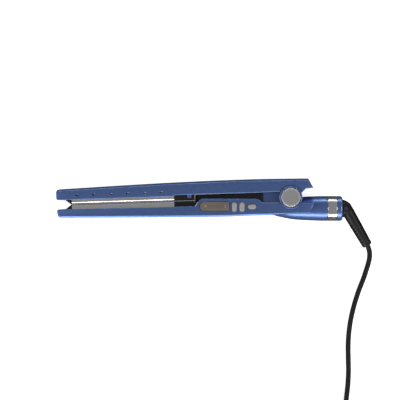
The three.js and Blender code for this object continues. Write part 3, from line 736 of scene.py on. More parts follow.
def turned(name, profile, steps=72):
    """A closed profile of (radius, height) pairs, or one that ends on the axis, spun round Z."""
    piece = trace(name, [(radius, 0, height) for radius, height in profile])
    bpy.ops.mesh.delete(type="ONLY_FACE")
    bpy.ops.mesh.select_all(action="SELECT")
    bpy.ops.mesh.spin(steps=steps, angle=2 * math.pi, center=(0, 0, 0), axis=(0, 0, 1))
    bpy.ops.mesh.select_all(action="SELECT")
    bpy.ops.mesh.remove_doubles(threshold=1e-6)
    bpy.ops.mesh.dissolve_degenerate(threshold=1e-7)
    bpy.ops.mesh.delete_loose(use_verts=True, use_edges=True, use_faces=False)
    bpy.ops.mesh.select_all(action="SELECT")
    bpy.ops.mesh.normals_make_consistent(inside=False)
    object_mode()
    return piece


def on_handle(piece):
    """Lays a turned piece along the handle, so that its heights run along X."""
    take(piece)
    piece.rotation_euler = (0, math.pi / 2, 0)
    piece.location = (0, HANDLE_Y, MID)
    return place_in_mesh(piece)


def copy_to_back(piece, name):
    """The same piece on the back of the iron, as a turned copy with its own mesh."""
    take(piece)
    bpy.ops.object.duplicate(linked=False)
    copied = bpy.context.object
    copied.name = copied.data.name = name
    copied.location = (0, 0, 2 * MID)
    copied.rotation_euler = (math.pi, 0, 0)
    return place_in_mesh(copied)


def rounded_rect(x, y, left, right=None, steps=6):
    right = left if right is None else right
    return [
        *arc((x[1] - right, y[0] + right), right, -90, 0, steps),
        *arc((x[1] - right, y[1] - right), right, 0, 90, steps),
        *arc((x[0] + left, y[1] - left), left, 90, 180, steps),
        *arc((x[0] + left, y[0] + left), left, 180, 270, steps),
    ]


def grown(span, by):
    return span[0] - by, span[1] + by


def lip_tool(outline, side):
    """A shallow plug with sloping walls. It takes the sharp edge off an opening in a side face."""
    depth = LIP_CUT * MM
    if side == SIDE_FRONT:
        return slab("lip", outline, side - depth, side + 3 * depth, depth, 1)
    return slab("lip", outline, side - 3 * depth, side + depth, depth, 1)


def soften(piece, test, offset, segments=2):
    """Rounds over the edges that pass a test."""
    edit(piece)
    found = choose("EDGE", test)
    if found:
        bpy.ops.mesh.bevel(offset=offset, segments=segments, profile=0.5, affect="EDGES")
    object_mode()
    return found


def finished(piece, body, slot, *nodes, angle=32):
    """Smooths a piece by angle, gives it its finish, ties it to its body and hides the nodes it
    stands for.
    """
    take(piece)
    bpy.ops.object.shade_smooth_by_angle(angle=math.radians(angle))
    piece.data.materials.clear()
    piece.data.materials.append(FINISHES[slot])
    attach(piece, body)
    if nodes:
        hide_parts(*nodes)
    low, high = [Vector(corner) for corner in (piece.bound_box[0], piece.bound_box[6])]
    size = [round(value / MM, 1) for value in high - low]
    print(piece.name, "on", body, "size", size, "mm, faces", len(piece.data.polygons))
    return piece


print("cutting, joining and turning ready")

# %% [markdown]
# The upper arm is one moulded shell, open towards the lower arm. Its outline is drawn in the arm's
# own frame and turned by the arm's tilt. Its back leans in near both side faces, which leaves the
# wall thinner there, because the hollow inside is cut straight.

# %% Upper arm shell
TIP_X = -269.5
TIP_ROUND = 3
LIP_PLATE = 5.4
LIP_REAR = 6.9
KNUCKLE_R = 12.4
KNUCKLE_SIDES = (2 * MID - 29.7 * MM, 29.7 * MM)
HINGE_CLEAR = 14.2
PIN_R = 2.6
VENT_FIRST = -245.6
VENT_PITCH = 19.45
VENT_COUNT = 6
VENT_Y = 10.5
COVER_SCREWS = (-94, -48)
SCREW_BORE_R = 1.7
BACK_FROM = 14.4
BACK_LEAN = -2.4 * MM
BACK_LEAN_DEPTH = 4.5 * MM


def tilted(points):
    """Points of the arm's own frame, in millimetres, turned into the iron's frame."""
    c, s = math.cos(ARM_TILT), math.sin(ARM_TILT)
    return [((x * c - y * s) * MM, (x * s + y * c) * MM) for x, y in points]


def upper_back(inset):
    return [(-40, 22.3 - inset), (-136, 21.5 - inset), (-265, 18 - inset)]


def upper_outline():
    return [
        *bend((TIP_X, LIP_PLATE + TIP_ROUND), (TIP_X, LIP_PLATE), (TIP_X + TIP_ROUND, LIP_PLATE)),
        (-136, LIP_PLATE), (-132.2, LIP_REAR), (11, LIP_REAR), (13.2, 5.2), (17.9, 9.7),
        (26.4, 10.1), *flowing([(20.9, 21.2), *upper_back(0)]),
        *bend((-265, 18), (TIP_X, 17.9), (TIP_X, 14.5))[1:],
    ]


def upper_hollow():
    back = flowing([(10, 19.6), *upper_back(2)])
    return [(TIP_X + 2, 0), (10, 0), *back, (TIP_X + 2, 15.4)]


def vent_tools():
    tools = []
    for i in range(VENT_COUNT):
        x = VENT_FIRST + i * VENT_PITCH
        rims = [(x - 2.1, x + 2.1), (VENT_Y - 1, VENT_Y + 1)]
        tools.append(slab("vent", tilted(rounded_rect(*rims, 0.99)), -MM, 2 * MID + MM))
        wide = tilted(rounded_rect(*[grown(rim, LIP_CUT) for rim in rims], 0.99 + LIP_CUT))
        tools += [lip_tool(wide, SIDE_FRONT), lip_tool(wide, SIDE_BACK)]
    return tools


def screw_rod(name, x, radius, low, high):
    """A round rod that stands across the arm, where a cover screw goes."""
    rod = bar(name, radius * MM, low * MM, high * MM, sides=32)
    take(rod)
    rod.rotation_euler = (-math.pi / 2, 0, ARM_TILT)
    rod.location = (*tilted([(x, 0)])[0], MID)
    return place_in_mesh(rod)


def on_back(point):
    return point.y * math.cos(ARM_TILT) - point.x * math.sin(ARM_TILT) > BACK_FROM


def upper_shell():
    inner = (SIDE_BACK + WALL, SIDE_FRONT - WALL)
    outline = tilted(upper_outline())
    shell = blank("upper_arm_shell", outline, on_back, BACK_LEAN, BACK_LEAN_DEPTH)
    cut(shell, slab("hollow", tilted(upper_hollow()), *inner))
    cut(shell, bar("clear", HINGE_CLEAR * MM, -MM, 2 * MID + MM, sides=96), *vent_tools())
    web = [(-31.5, -5.05), (-8, -5.8), (-8, -2), (12.1, 0), (12.1, 19.5), (-31.5, 20)]
    weld(shell, bar("barrel", KNUCKLE_R * MM, *KNUCKLE_SIDES, sides=96))
    weld(shell, slab("web", tilted(web), *KNUCKLE_SIDES))
    tab = [(-119.6, 8), (-118.4, 3.4), (-114.6, 3.4), (-113.2, 8)]
    for low in (SIDE_FRONT - WALL, SIDE_BACK + 0.5 * MM):
        weld(shell, slab("tab", tilted(tab), low, low + 1.5 * MM, 0.3 * MM))
    weld(shell, *[screw_rod("boss", x, 3.2, 11, 21) for x in COVER_SCREWS])
    cut(shell, *[screw_rod("bore", x, SCREW_BORE_R, 7, 17) for x in COVER_SCREWS])
    cut(shell, bar("bore", (PIN_R + 0.4) * MM, -MM, 2 * MID + MM))
    cut(shell, bar("spring_room", 8 * MM, MID - 6.5 * MM, MID + 6.5 * MM))
    return shell


upper = upper_shell()
finished(upper, "upper_arm", "shell_blue", "upper_shell")

# %% [markdown]
# The lower arm holds the controls, so its shell has a hump with a window and three key openings in
# its side. The round handle goes into its rear end, and two ears take the hinge.

# %% Lower arm shell
HUMP_TOP = -1.5
CHEEK_TOP = -6.2
WINDOW_X = (-104.3, -71)
WINDOW_Y = (-15.5, -5.1)
PLUS_X = (-67.5, -62.3)
MINUS_X = (-58.9, -53.4)
TALL_KEY_Y = (-16.2, -6)
POWER_X = (-49.1, -40.1)
POWER_Y = (-13.3, -8.4)
TALL_KEY_R = 2.2
POWER_KEY_R = 2.3
PANEL_GAP = 0.7
BEZEL_OUT = 13.35
BEZEL_ROOM = 14.1
EAR_R = 13.4
EAR_SIDES = (30.8 * MM, 36.6 * MM)
UNDERSIDE_FROM = -20.3
UNDERSIDE_END = -10
UNDERSIDE_LEAN = 1.8 * MM
UNDERSIDE_LEAN_DEPTH = 1.7 * MM
HANDLE_OUTSIDE = [
    (7.6, -19), (9.1, -14.6), (10.6, -7.7), (12, -0.8), (12.9, 6.1), (13.4, 13), (13.8, 20),
    (14.1, 28), (14.35, 36), (14.4, 42.8),
]


def lower_outline():
    bottom = flowing([(-264, -23.5), (-150, -22.9), (-72, -22.1), (-45, -20.95), (-18, -20.5)])
    return [
        *bottom, (22, -17.9), (27, CHEEK_TOP), (-32.4, CHEEK_TOP),
        *bend((-32.4, CHEEK_TOP), (-35.6, HUMP_TOP), (-42, HUMP_TOP), 10)[1:],
        *bend((-100.5, HUMP_TOP), (-104.8, HUMP_TOP), (-106.6, -5.2), 10),
        (-109.4, -10.1), *bend((-265.8, -13.72), (-268.8, -13.8), (-268.6, -16.8)),
        *bend((-267.7, -20.6), (-267, -23.5), (-264, -23.5))[:-1],
    ]


LOWER_HOLLOW = [
    (-265, -21.4), (-72, -20), (-45, -18.9), (-36.5, -18.6), (-36.5, -3.6), (-105, -3.6),
    (-109, -8), (-109, 2), (-265, 2),
]


def panel_openings(gap):
    return [
        rounded_rect(grown(WINDOW_X, gap), grown(WINDOW_Y, gap), 4.15 + gap, 1.35 + gap),
        rounded_rect(grown(PLUS_X, gap), grown(TALL_KEY_Y, gap), TALL_KEY_R + gap),
        rounded_rect(grown(MINUS_X, gap), grown(TALL_KEY_Y, gap), TALL_KEY_R + gap),
        rounded_rect(grown(POWER_X, gap), grown(POWER_Y, gap), POWER_KEY_R - 0.35 + gap),
    ]


def panel_tools():
    low, high = SIDE_FRONT - WALL - MM, SIDE_FRONT + MM
    through = [slab("opening", in_mm(outline), low, high) for outline in panel_openings(PANEL_GAP)]
    lips = [lip_tool(in_mm(wide), SIDE_FRONT) for wide in panel_openings(PANEL_GAP + LIP_CUT)]
    return through + lips


def mm_block(name, x, y, z):
    return block(name, (x[0] * MM, y[0] * MM, z[0]), (x[1] * MM, y[1] * MM, z[1]))


def handle_room():
    room = [((r + 0.4) * MM, x * MM) for r, x in HANDLE_OUTSIDE]
    profile = [(0, -19.4 * MM), (7.9 * MM, -19.4 * MM), *room, (0, 42.8 * MM)]
    tool = on_handle(turned("room", profile))
    return cut(tool, bar("clear", (HINGE_CLEAR - 0.6) * MM, -MM, 2 * MID + MM, sides=96))


def on_underside(point):
    return point.y < UNDERSIDE_FROM and point.x < UNDERSIDE_END


def lower_shell():
    outline = in_mm(lower_outline())
    lean = (UNDERSIDE_LEAN, UNDERSIDE_LEAN_DEPTH)
    shell = blank("lower_arm_shell", outline, on_underside, *lean)
    cut(shell, slab("hollow", in_mm(LOWER_HOLLOW), SIDE_BACK + WALL, SIDE_FRONT - WALL))
    cut(shell, mm_block("cover_room", (-109, -31.9), (-6, 2), (7.7 * MM, 31.3 * MM)))
    cut(shell, mm_block("lead_room", (-37, -17), (-18, -8.5), (9 * MM, 30 * MM)), handle_room())
    knuckle_room = (2 * MID - EAR_SIDES[0], EAR_SIDES[0])
    cut(shell, bar("knuckle_room", (HINGE_CLEAR + 0.1) * MM, *knuckle_room, sides=96))
    cut(shell, *panel_tools())
    for low, high in (EAR_SIDES, (2 * MID - EAR_SIDES[1], 2 * MID - EAR_SIDES[0])):
        weld(shell, bar("ear", EAR_R * MM, low, high, sides=96))
    for low, high in ((EAR_SIDES[1], 2 * MID), (0, 2 * MID - EAR_SIDES[1])):
        cut(shell, bar("seat", BEZEL_ROOM * MM, low, high, sides=96))
    return cut(shell, bar("bore", (PIN_R + 0.3) * MM, 0, 2 * MID))


lower = lower_shell()
finished(lower, "lower_arm", "shell_blue", "lower_shell")

# %% [markdown]
# The window is a thick smoked lens pressed into the panel, with its rim rounded over. Two
# indicator lamps and a row of display bars show through it, as small inlays in its face.

# %% Display window
def in_panel(name, outline, low, high, bevel):
    return slab(name, in_mm(outline), SIDE_FRONT + low * MM, SIDE_FRONT + high * MM, bevel * MM)


lens = in_panel("window_lens", rounded_rect(WINDOW_X, WINDOW_Y, 4.2, 1.4, 8), -1.9, 0.05, 0.35)
finished(lens, "lower_arm", "window_smoke", "display_window")
WINDOW_MID_Y = (WINDOW_Y[0] + WINDOW_Y[1]) / 2
DISPLAY_BARS = 5


def inlay(name, x, y, round_by, low=-0.3, high=0.09):
    return in_panel(name, rounded_rect(x, y, round_by, steps=4), low, high, 0)


lamp = inlay("lamp_amber", (-99.2, -97.2), (WINDOW_MID_Y - 0.9, WINDOW_MID_Y + 1.3), 0.9)
green = inlay("lamp_olive", (-76.2, -74.6), (WINDOW_MID_Y - 1.6, WINDOW_MID_Y + 1.6), 0.7)

# %% [markdown]
# The display bars are one bar, copied along the window at an even pitch and joined.

# %% Display bars
bars = inlay("display_bars", (-94.6, -92.8), (WINDOW_MID_Y - 0.7, WINDOW_MID_Y + 0.7), 0.4)
take(bars)
row = bars.modifiers.new("row", "ARRAY")
row.count = DISPLAY_BARS
row.use_relative_offset = False
row.use_constant_offset = True
row.constant_offset_displace = (3.9 * MM, 0, 0)
bpy.ops.object.modifier_apply(modifier="row")
for piece, glow in ((lamp, "lamp_amber"), (green, "lamp_olive"), (bars, "display_grey")):
    finished(piece, "lower_arm", "window_smoke")
    piece.data.materials[0] = FINISHES[glow]

# %% [markdown]
# Each key is a rounded cap that stands a little proud of the panel, with a flange behind the panel
# that keeps it in. The cap's face is crowned: its top face is inset and its rim lowered. The two
# tall keys carry a plain plus and a plain minus, and the power key a short bar, all cut as
# shallow grooves.

# %% Keys
KEY_BACK = -3.2
KEY_TOP = 0.7


def key(name, x, y, round_by, grooves):
    cap = in_panel(name, rounded_rect(x, y, round_by, steps=8), KEY_BACK, KEY_TOP, 0)
    edit(cap)
    top = SIDE_FRONT + KEY_TOP * MM
    choose("FACE", lambda f: f.calc_center_median().z > top - 1e-5)
    bpy.ops.mesh.inset(thickness=0.45 * MM, depth=0)
    bpy.ops.transform.translate(value=(0, 0, 0.12 * MM))
    choose("EDGE", lambda e: all(abs(v.co.z - top) < 1e-5 for v in e.verts))
    bpy.ops.mesh.bevel(offset=0.3 * MM, segments=3, profile=0.5, affect="EDGES")
    object_mode()
    for groove in grooves:
        cut(cap, in_panel("groove", groove, KEY_TOP - 0.25, KEY_TOP + 1, 0))
    back = SIDE_FRONT + KEY_BACK * MM
    flange = mm_block("flange", grown(x, 0.9), grown(y, 0.9), (back, back + 0.9 * MM))
    return weld(cap, flange)


def stroke(x, y, wide, high):
    return rounded_rect((x - wide / 2, x + wide / 2), (y - high / 2, y + high / 2), 0.24, steps=3)


tall_y = (TALL_KEY_Y[0] + TALL_KEY_Y[1]) / 2
plus_x = (PLUS_X[0] + PLUS_X[1]) / 2
minus_x = (MINUS_X[0] + MINUS_X[1]) / 2
power_x = (POWER_X[0] + POWER_X[1]) / 2
power_y = (POWER_Y[0] + POWER_Y[1]) / 2
plus_marks = [stroke(plus_x, tall_y, 2.2, 0.5), stroke(plus_x, tall_y, 0.5, 2.2)]
plus = key("plus_key_cap", PLUS_X, TALL_KEY_Y, TALL_KEY_R, plus_marks)
minus = key("minus_key_cap", MINUS_X, TALL_KEY_Y, TALL_KEY_R, [stroke(minus_x, tall_y, 2.2, 0.5)])
power = key("power_key_cap", POWER_X, POWER_Y, POWER_KEY_R, [stroke(power_x, power_y, 0.5, 1.9)])
finished(plus, "plus_key", "key_grey", "plus_button")
finished(minus, "minus_key", "key_grey", "minus_button")
finished(power, "power_key", "key_grey", "power_button")

# %% [markdown]
# A raised ring frames the hinge on both sides, and a flat brushed cap closes it. Both are turned
# from a profile with rounded corners. The cap has a polished edge and a fine groove inside it.

# %% Hinge ring and cap
CAP_R = 11.05
BEZEL_IN = 11.85
HINGE_SEAT = 36.9
HINGE_TOP = 2 * MID / MM


def bezel_profile():
    top = SIDE_FRONT / MM + 0.8
    outside = arc((BEZEL_OUT - 0.8, top - 0.8), 0.8, 0, 80, 5)
    inside = arc((BEZEL_IN + 0.6, top - 0.6), 0.6, 100, 180, 4)
    return in_mm([(BEZEL_IN, HINGE_SEAT), (BEZEL_OUT, HINGE_SEAT), *outside, *inside])


def cap_profile():
    rim = arc((CAP_R - 0.7, HINGE_TOP - 0.7), 0.7, 0, 90, 5)
    groove = [(10.0, HINGE_TOP), (9.85, HINGE_TOP - 0.16), (9.65, HINGE_TOP - 0.16)]
    return in_mm([
        (0, HINGE_SEAT), (CAP_R, HINGE_SEAT), *rim, *groove, (9.5, HINGE_TOP - 0.04),
        (0, HINGE_TOP - 0.04),
    ])


ring_front = turned("hinge_ring_front", bezel_profile(), 96)
ring_back = copy_to_back(ring_front, "hinge_ring_back")
cap_front = turned("hinge_disc_front", cap_profile(), 96)
cap_back = copy_to_back(cap_front, "hinge_disc_back")
finished(ring_front, "lower_arm", "shell_blue", "hinge_bezel_front")
finished(ring_back, "lower_arm", "shell_blue", "hinge_bezel_back")
finished(cap_front, "lower_arm", "cap_satin", "hinge_cap_front", angle=25)
finished(cap_back, "lower_arm", "cap_satin", "hinge_cap_back", angle=25)

# %% [markdown]
# The handle is one turned tube. Its belly narrows forward under the arm, where the hinge and the
# cheek of the shell cut it away, and a thinner spigot at its rear takes the ring and the end cap.

# %% Handle
HANDLE_END = 42.8
SPIGOT_R = 12.6
SPIGOT_END = 56


def handle():
    outside = [tuple(point) for point in flowing(HANDLE_OUTSIDE, 3)]
    lip = arc((HANDLE_OUTSIDE[-1][0] - 0.4, HANDLE_END - 0.4), 0.4, 0, 90, 4)
    profile = [
        *outside[:-1], *lip, (SPIGOT_R, HANDLE_END), (SPIGOT_R, SPIGOT_END), (10.6, SPIGOT_END),
        (10.6, 6), (8.4, -9), (5.6, -17), (5.4, -19),
    ]
    tube_piece = on_handle(turned("handle_grip", in_mm(profile), 96))
    cut(tube_piece, bar("clear", (HINGE_CLEAR - 0.2) * MM, -MM, 2 * MID + MM, sides=96))
    return cut(tube_piece, mm_block("cheek", (-20, 0), (CHEEK_TOP - 0.6, 5), (-MM, 2 * MID + MM)))


finished(handle(), "lower_arm", "shell_blue", "rear_handle")

# %% [markdown]
# The polished ring and the end cap slide over the spigot. Both are hollow turned pieces whose
# corners are quarter rounds, because a sharp corner never catches the light as a real one does.

# %% Ring and end cap
RING_START = HANDLE_END + 0.3
RING_END = 53.8
CAP_START = RING_END + 0.3
CAP_END = 60.5
NECK_R = 7
BORE_R = SPIGOT_R + 0.3
radius_mm = HANDLE_R / MM


def ring_profile():
    first = arc((radius_mm - 0.5, RING_START + 0.5), 0.5, -90, 0, 4)
    last = arc((radius_mm - 0.5, RING_END - 0.5), 0.5, 0, 90, 4)
    return in_mm([(BORE_R, RING_START), *first, *last, (BORE_R, RING_END)])


def end_cap_profile():
    first = arc((radius_mm - 0.4, CAP_START + 0.4), 0.4, -90, 0, 4)
    last = arc((radius_mm - 2.9, CAP_END - 2.9), 2.9, 0, 90, 8)
    inside = [(NECK_R + 0.3, CAP_END), (NECK_R + 0.3, 57), (BORE_R, 57)]
    return in_mm([(BORE_R, CAP_START), *first, *last, *inside])


handle_ring = on_handle(turned("handle_ring", ring_profile(), 96))
handle_end = on_handle(turned("handle_end", end_cap_profile(), 96))
finished(handle_ring, "lower_arm", "ring_chrome", "chrome_ring")
finished(handle_end, "lower_arm", "shell_blue", "end_cap")

# %% [markdown]
# The swivel is one piece of soft black plastic moulded over the cord: a domed hub and a tapering
# sleeve. The two are joined, remeshed to small even faces and smoothed, which leaves the round
# corner that a mould has between them. The slits that let the sleeve flex are cut afterwards.

# %% Cord swivel
ELBOW_VOXEL = 0.55 * MM
SLIT_COUNT = 7
SLIT_FIRST = 20.5
SLIT_PITCH = 3.9


def swivel():
    hub_profile = in_mm([
        (0, 48.5), (9.2, 48.5), (9.2, 50.5), (NECK_R, 50.5), (NECK_R, CAP_END + 0.3),
        (10.3, CAP_END + 0.3), (10.2, 62), (9.4, 64), (8.3, 66.4), (6.8, 68.6), (4, 70), (0, 70.4),
    ])
    sleeve_profile = in_mm([
        (0, -3.6), (6.9, -3.6), (7.1, 6.5), (6.9, 14), (6.6, 28), (6.2, 41), (5.9, 51.4), (0, 51.4),
    ])
    hub = on_handle(turned("swivel_moulding", hub_profile, 48))
    sleeve = turned("sleeve", sleeve_profile, 48)
    sleeve.rotation_mode = "QUATERNION"
    sleeve.rotation_quaternion = SLEEVE_AXIS.to_track_quat("Z", "Y")
    sleeve.location = PIVOT
    weld(hub, place_in_mesh(sleeve))
    take(hub)
    skin = hub.modifiers.new("skin", "REMESH")
    skin.mode = "VOXEL"
    skin.voxel_size = ELBOW_VOXEL
    bpy.ops.object.modifier_apply(modifier="skin")
    ease = hub.modifiers.new("ease", "SMOOTH")
    ease.factor = 0.5
    ease.iterations = 7
    bpy.ops.object.modifier_apply(modifier="ease")
    return hub


elbow = swivel()

# %% [markdown]
# The slits lie in two rows on opposite sides of the sleeve. Each cutter is a small block with
# rounded edges, turned to stand across the sleeve's axis.

# %% Slits of the sleeve
TOWARDS_INSIDE = SLEEVE_AXIS.cross(Vector((0, 0, 1))).normalized()


def slit(along, side):
    across = TOWARDS_INSIDE * side
    facing = (across + Vector((0, 0, 0.75))).normalized()
    facing = (facing - SLEEVE_AXIS * facing.dot(SLEEVE_AXIS)).normalized()
    tool = block("slit", (-2.6 * MM, -0.8 * MM, -2 * MM), (2.6 * MM, 0.8 * MM, 2 * MM))
    soften(tool, lambda e: True, 0.4 * MM)
    turn = Matrix((facing.cross(SLEEVE_AXIS), -SLEEVE_AXIS, facing)).transposed()
    if turn.determinant() < 0:
        turn = Matrix((SLEEVE_AXIS.cross(facing), -SLEEVE_AXIS, facing)).transposed()
    tool.rotation_euler = turn.to_euler()
    tool.location = PIVOT + SLEEVE_AXIS * along * MM + facing * 6.6 * MM
    return place_in_mesh(tool)


for number in range(SLIT_COUNT):
    for side in (-1, 1):
        cut(elbow, slit(SLIT_FIRST + number * SLIT_PITCH, side))
finished(elbow, "cord_swivel", "cord_black", "swivel_elbow")

# %% [markdown]
# Each plate sits in a black carrier that floats on soft pads. The plate's face is flat, and its
# long edges are rolled away so that hair isn't creased. A carrier is one slanted block with a tray
# behind the plate. The lower pair is the upper pair mirrored.

# %% Plates and carriers
PLATE_FRONT = -251.8
PLATE_REAR = -134.2
PLATE_HALF = 16
PLATE_FACE = 0.07
EDGE_ROLL = 4.2
PLATE_BACK = 6.8
CARRIER_FRONT = -259.5
CARRIER_REAR = -110.3
CARRIER_BACK = 11
CARRIER_FACE = 0.1
CARRIER_SIDES = (4 * MM, 35 * MM)


def plate(name, side):
    roll = arc((PLATE_HALF - EDGE_ROLL, PLATE_FACE + EDGE_ROLL), EDGE_ROLL, 0, -90, 10)
    mirrored = [(-z, y) for z, y in reversed(roll)]
    legs = [(PLATE_HALF - 1.8, PLATE_BACK), (PLATE_HALF - 1.8, 2.2)]
    section = [
        (PLATE_HALF, PLATE_BACK), *roll, *mirrored, (-PLATE_HALF, PLATE_BACK),
        *[(-z, y) for z, y in legs], *reversed(legs),
    ]
    start = [tilted([(PLATE_FRONT, side * y)])[0] for z, y in section]
    corners = [(x, y, MID + z * MM) for (x, y), (z, _) in zip(start, section)]
    piece = trace(name, corners)
    along = Vector((math.cos(ARM_TILT), math.sin(ARM_TILT), 0))
    pull(along * (PLATE_REAR - PLATE_FRONT) * MM)
    object_mode()
    return piece


def carrier(name, side):
    seat = PLATE_BACK + 0.35
    outline = [
        (CARRIER_FRONT, 5.6), (PLATE_FRONT - 0.5, CARRIER_FACE), (PLATE_FRONT - 0.5, seat),
        (PLATE_REAR + 0.5, seat), (PLATE_REAR + 0.5, CARRIER_FACE), (CARRIER_REAR, CARRIER_FACE),
        (CARRIER_REAR, CARRIER_BACK), (CARRIER_FRONT, CARRIER_BACK),
    ]
    outline = tilted([(x, side * y) for x, y in outline])
    piece = slab(name, outline, *CARRIER_SIDES, 0.05 * MM, 1)
    tray = [(CARRIER_FRONT + 2, seat + 1.7), (CARRIER_REAR - 2, seat + 1.7)]
    tray += [(CARRIER_REAR - 2, CARRIER_BACK + 1), (CARRIER_FRONT + 2, CARRIER_BACK + 1)]
    tray = tilted([(x, side * y) for x, y in tray])
    return cut(piece, slab("tray", tray, CARRIER_SIDES[0] + WALL, CARRIER_SIDES[1] - WALL))


for name, side in (("upper", 1), ("lower", -1)):
    unit = f"{name}_plate_unit"
    finished(carrier(f"{name}_carrier_tray", side), unit, "inner_black", f"{name}_carrier")
    finished(plate(f"{name}_hot_plate", side), unit, "plate_mirror", f"{name}_plate")

# %% [markdown]
# Two inner covers close the arms behind the plates. The lower one fills the space above the
# controls, and the upper one is a flat plate held by two screws.

# %% Inner covers
def lower_cover():
    raised = [
        (-110.05, -9.3), (-109.3, -9.3), (-107.4, -5.95), (-107.4, -5.6), (-32.15, -5.6),
        (-32.15, 5.7), (-110.05, 3.1),
    ]
    cover = slab("control_cover", in_mm(raised), 8 * MM, 31 * MM, 0.2 * MM, 2)
    weld(cover, mm_block("flange", (-103, -37.2), (-5.6, -4), (5.1 * MM, 33.9 * MM)))
    return cut(cover, mm_block("hollow", (-105.5, -38.8), (-7, 1.2), (10 * MM, 29 * MM)))


def upper_cover():
    corners = tilted([(-106, 8.6), (-34.5, 8.6), (-34.5, 10.6), (-106, 10.6)])
    inner = (SIDE_BACK + WALL + GAP, SIDE_FRONT - WALL - GAP)
    cover = slab("arm_cover", corners, *inner, 0.4 * MM, 2)
    return cut(cover, *[screw_rod("bore", x, SCREW_BORE_R, 7, 17) for x in COVER_SCREWS])


finished(lower_cover(), "lower_arm", "inner_black", "lower_inner_cover")
finished(upper_cover(), "upper_arm", "inner_black", "upper_inner_cover")

# %% [markdown]
# The plug is a two-blade moulding. Its body is pinched at the waist for the fingers, and grooves
# across it give grip. Its tapering relief is ribbed so that the cord bends gently, and each blade
# is a bevelled strip of metal with a hole near its end.

# %% Plug
PLUG_Y = -320
PLUG_Z = 8.5
RELIEF_RIBS = 6


def lay_along(piece, start, direction):
    """Turns a piece that was made along Z, and starts it at a point."""
    take(piece)
    piece.rotation_mode = "QUATERNION"
    piece.rotation_quaternion = Vector(direction).to_track_quat("Z", "Y")
    piece.location = start
    return place_in_mesh(piece)


def plug_relief():
    profile = [(0, 0), (4.2, 0)]
    for i in range(RELIEF_RIBS):
        start = 1.5 + i * 3.6
        radius = 4.3 + 0.36 * i
        profile += [(radius, start), (radius - 0.9, start + 0.4), (radius - 0.9, start + 1.4)]
        profile += [(radius + 0.2, start + 1.8)]
    profile += [(6.4, 25), (6.4, 28), (0, 28)]
    relief = turned("relief", in_mm(profile), 48)
    return lay_along(relief, (-30 * MM, PLUG_Y * MM, PLUG_Z * MM), (-1, 0, 0))


def plug():
    outline = rounded_rect((-86, -54), (PLUG_Y - 13, PLUG_Y + 13), 4, 9, 10)
    body = slab("plug_moulding", in_mm(outline), 0, 2 * PLUG_Z * MM, 2.6 * MM, 5)
    for side in (-1, 1):
        y = (PLUG_Y + side * 39) * MM
        cut(body, bar("waist", 27.6 * MM, -MM, (2 * PLUG_Z + 1) * MM, -68 * MM, y, 128))
    for i in range(4):
        x = (-75.5 + i * 4.2, -73.9 + i * 4.2)
        for low, high in ((-1, 0.4), (2 * PLUG_Z - 0.4, 2 * PLUG_Z + 1)):
            span = (low * MM, high * MM)
            cut(body, mm_block("groove", x, (PLUG_Y - 7, PLUG_Y + 7), span))
    return weld(body, plug_relief())


def blade(name, y):
    strip = mm_block(name, (-102.8, -86.3), (y - 0.75, y + 0.75),
                     ((PLUG_Z - 3.2) * MM, (PLUG_Z + 3.2) * MM))
    soften(strip, lambda e: True, 0.3 * MM)
    hole = bar("hole", 1.6 * MM, -2 * MM, 2 * MM, sides=32)
    return cut(strip, lay_along(hole, (-99 * MM, y * MM, PLUG_Z * MM), (0, 1, 0)))


plug_piece = finished(plug(), "lower_arm", "cord_black", "plug_body")
left_blade = blade("plug_strip_left", PLUG_Y - 6.35)
right_blade = blade("plug_strip_right", PLUG_Y + 6.35)
finished(left_blade, "lower_arm", "blade_brass", "plug_blade_left")
finished(right_blade, "lower_arm", "blade_brass", "plug_blade_right")

# %% [markdown]
# The strap that holds the coil is a band closed round its section, with its free end pressed down
# on top. The band is a rim without a face, pulled to its width, given a thickness and rounded.

# %% Coil strap
STRAP_WIDTH = 10 * MM
STRAP_THICK = 0.8 * MM


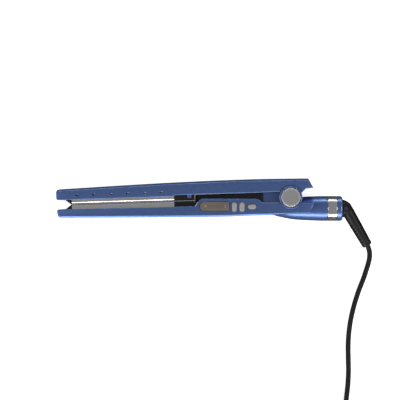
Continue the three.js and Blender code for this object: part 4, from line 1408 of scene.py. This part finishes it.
def strap():
    outline = rounded_rect((22.6, 42.6), (0.65, 25.95), 2.6, steps=8)
    band = trace("coil_strap", [(x * MM, -STRAP_WIDTH / 2, z * MM) for x, z in outline])
    bpy.ops.mesh.delete(type="ONLY_FACE")
    bpy.ops.mesh.select_all(action="SELECT")
    bpy.ops.mesh.extrude_region_move(TRANSFORM_OT_translate={"value": (0, STRAP_WIDTH, 0)})
    bpy.ops.mesh.select_all(action="SELECT")
    bpy.ops.mesh.remove_doubles(threshold=1e-6)
    bpy.ops.mesh.normals_make_consistent(inside=False)
    object_mode()
    take(band)
    wall = band.modifiers.new("wall", "SOLIDIFY")
    wall.thickness = STRAP_THICK
    wall.offset = 0
    bpy.ops.object.modifier_apply(modifier="wall")
    tab_outline = [(x * MM, y * MM) for x, y in rounded_rect((26, 41), (-5, 5), 0.6, 3.5)]
    tab = slab("tab", tab_outline, 26.2 * MM, 26.9 * MM, 0.2 * MM, 2)
    weld(band, tab)
    band.rotation_euler = (0, 0, math.radians(135))
    band.location = COIL_CENTRE
    return place_in_mesh(band)


strap_piece = finished(strap(), "lower_arm", "tie_black", "cord_tie")

# %% [markdown]
# The pieces inside keep their own shapes from the frame. They show only where the arms open, and
# each gets the finish of what it is made of.

# %% Finishes of the inner pieces
INNER_SLOTS = {
    "steel": ["upper_screw_front", "upper_screw_rear", "hinge_pin", "hinge_spring",
              "thermal_fuse", "plus_switch", "minus_switch", "power_switch"],
    "brass": ["hinge_washer_front", "hinge_washer_back", "line_contact", "neutral_contact"],
    "ceramic": ["upper_heater", "lower_heater", "upper_lead", "lower_lead"],
    "mica": ["upper_insulator", "lower_insulator"],
    "silicone": ["upper_float_pad_front", "upper_float_pad_rear",
                 "lower_float_pad_front", "lower_float_pad_rear"],
    "board_green": ["control_board"],
    "inner_black": ["display_module", "swivel_socket"],
    "cord_black": ["mains_lead"],
}
for slot, names in INNER_SLOTS.items():
    for name in names:
        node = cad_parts[name]
        node.data.materials.clear()
        node.data.materials.append(FINISHES[slot])
print("inner pieces finished", sum(len(names) for names in INNER_SLOTS.values()))
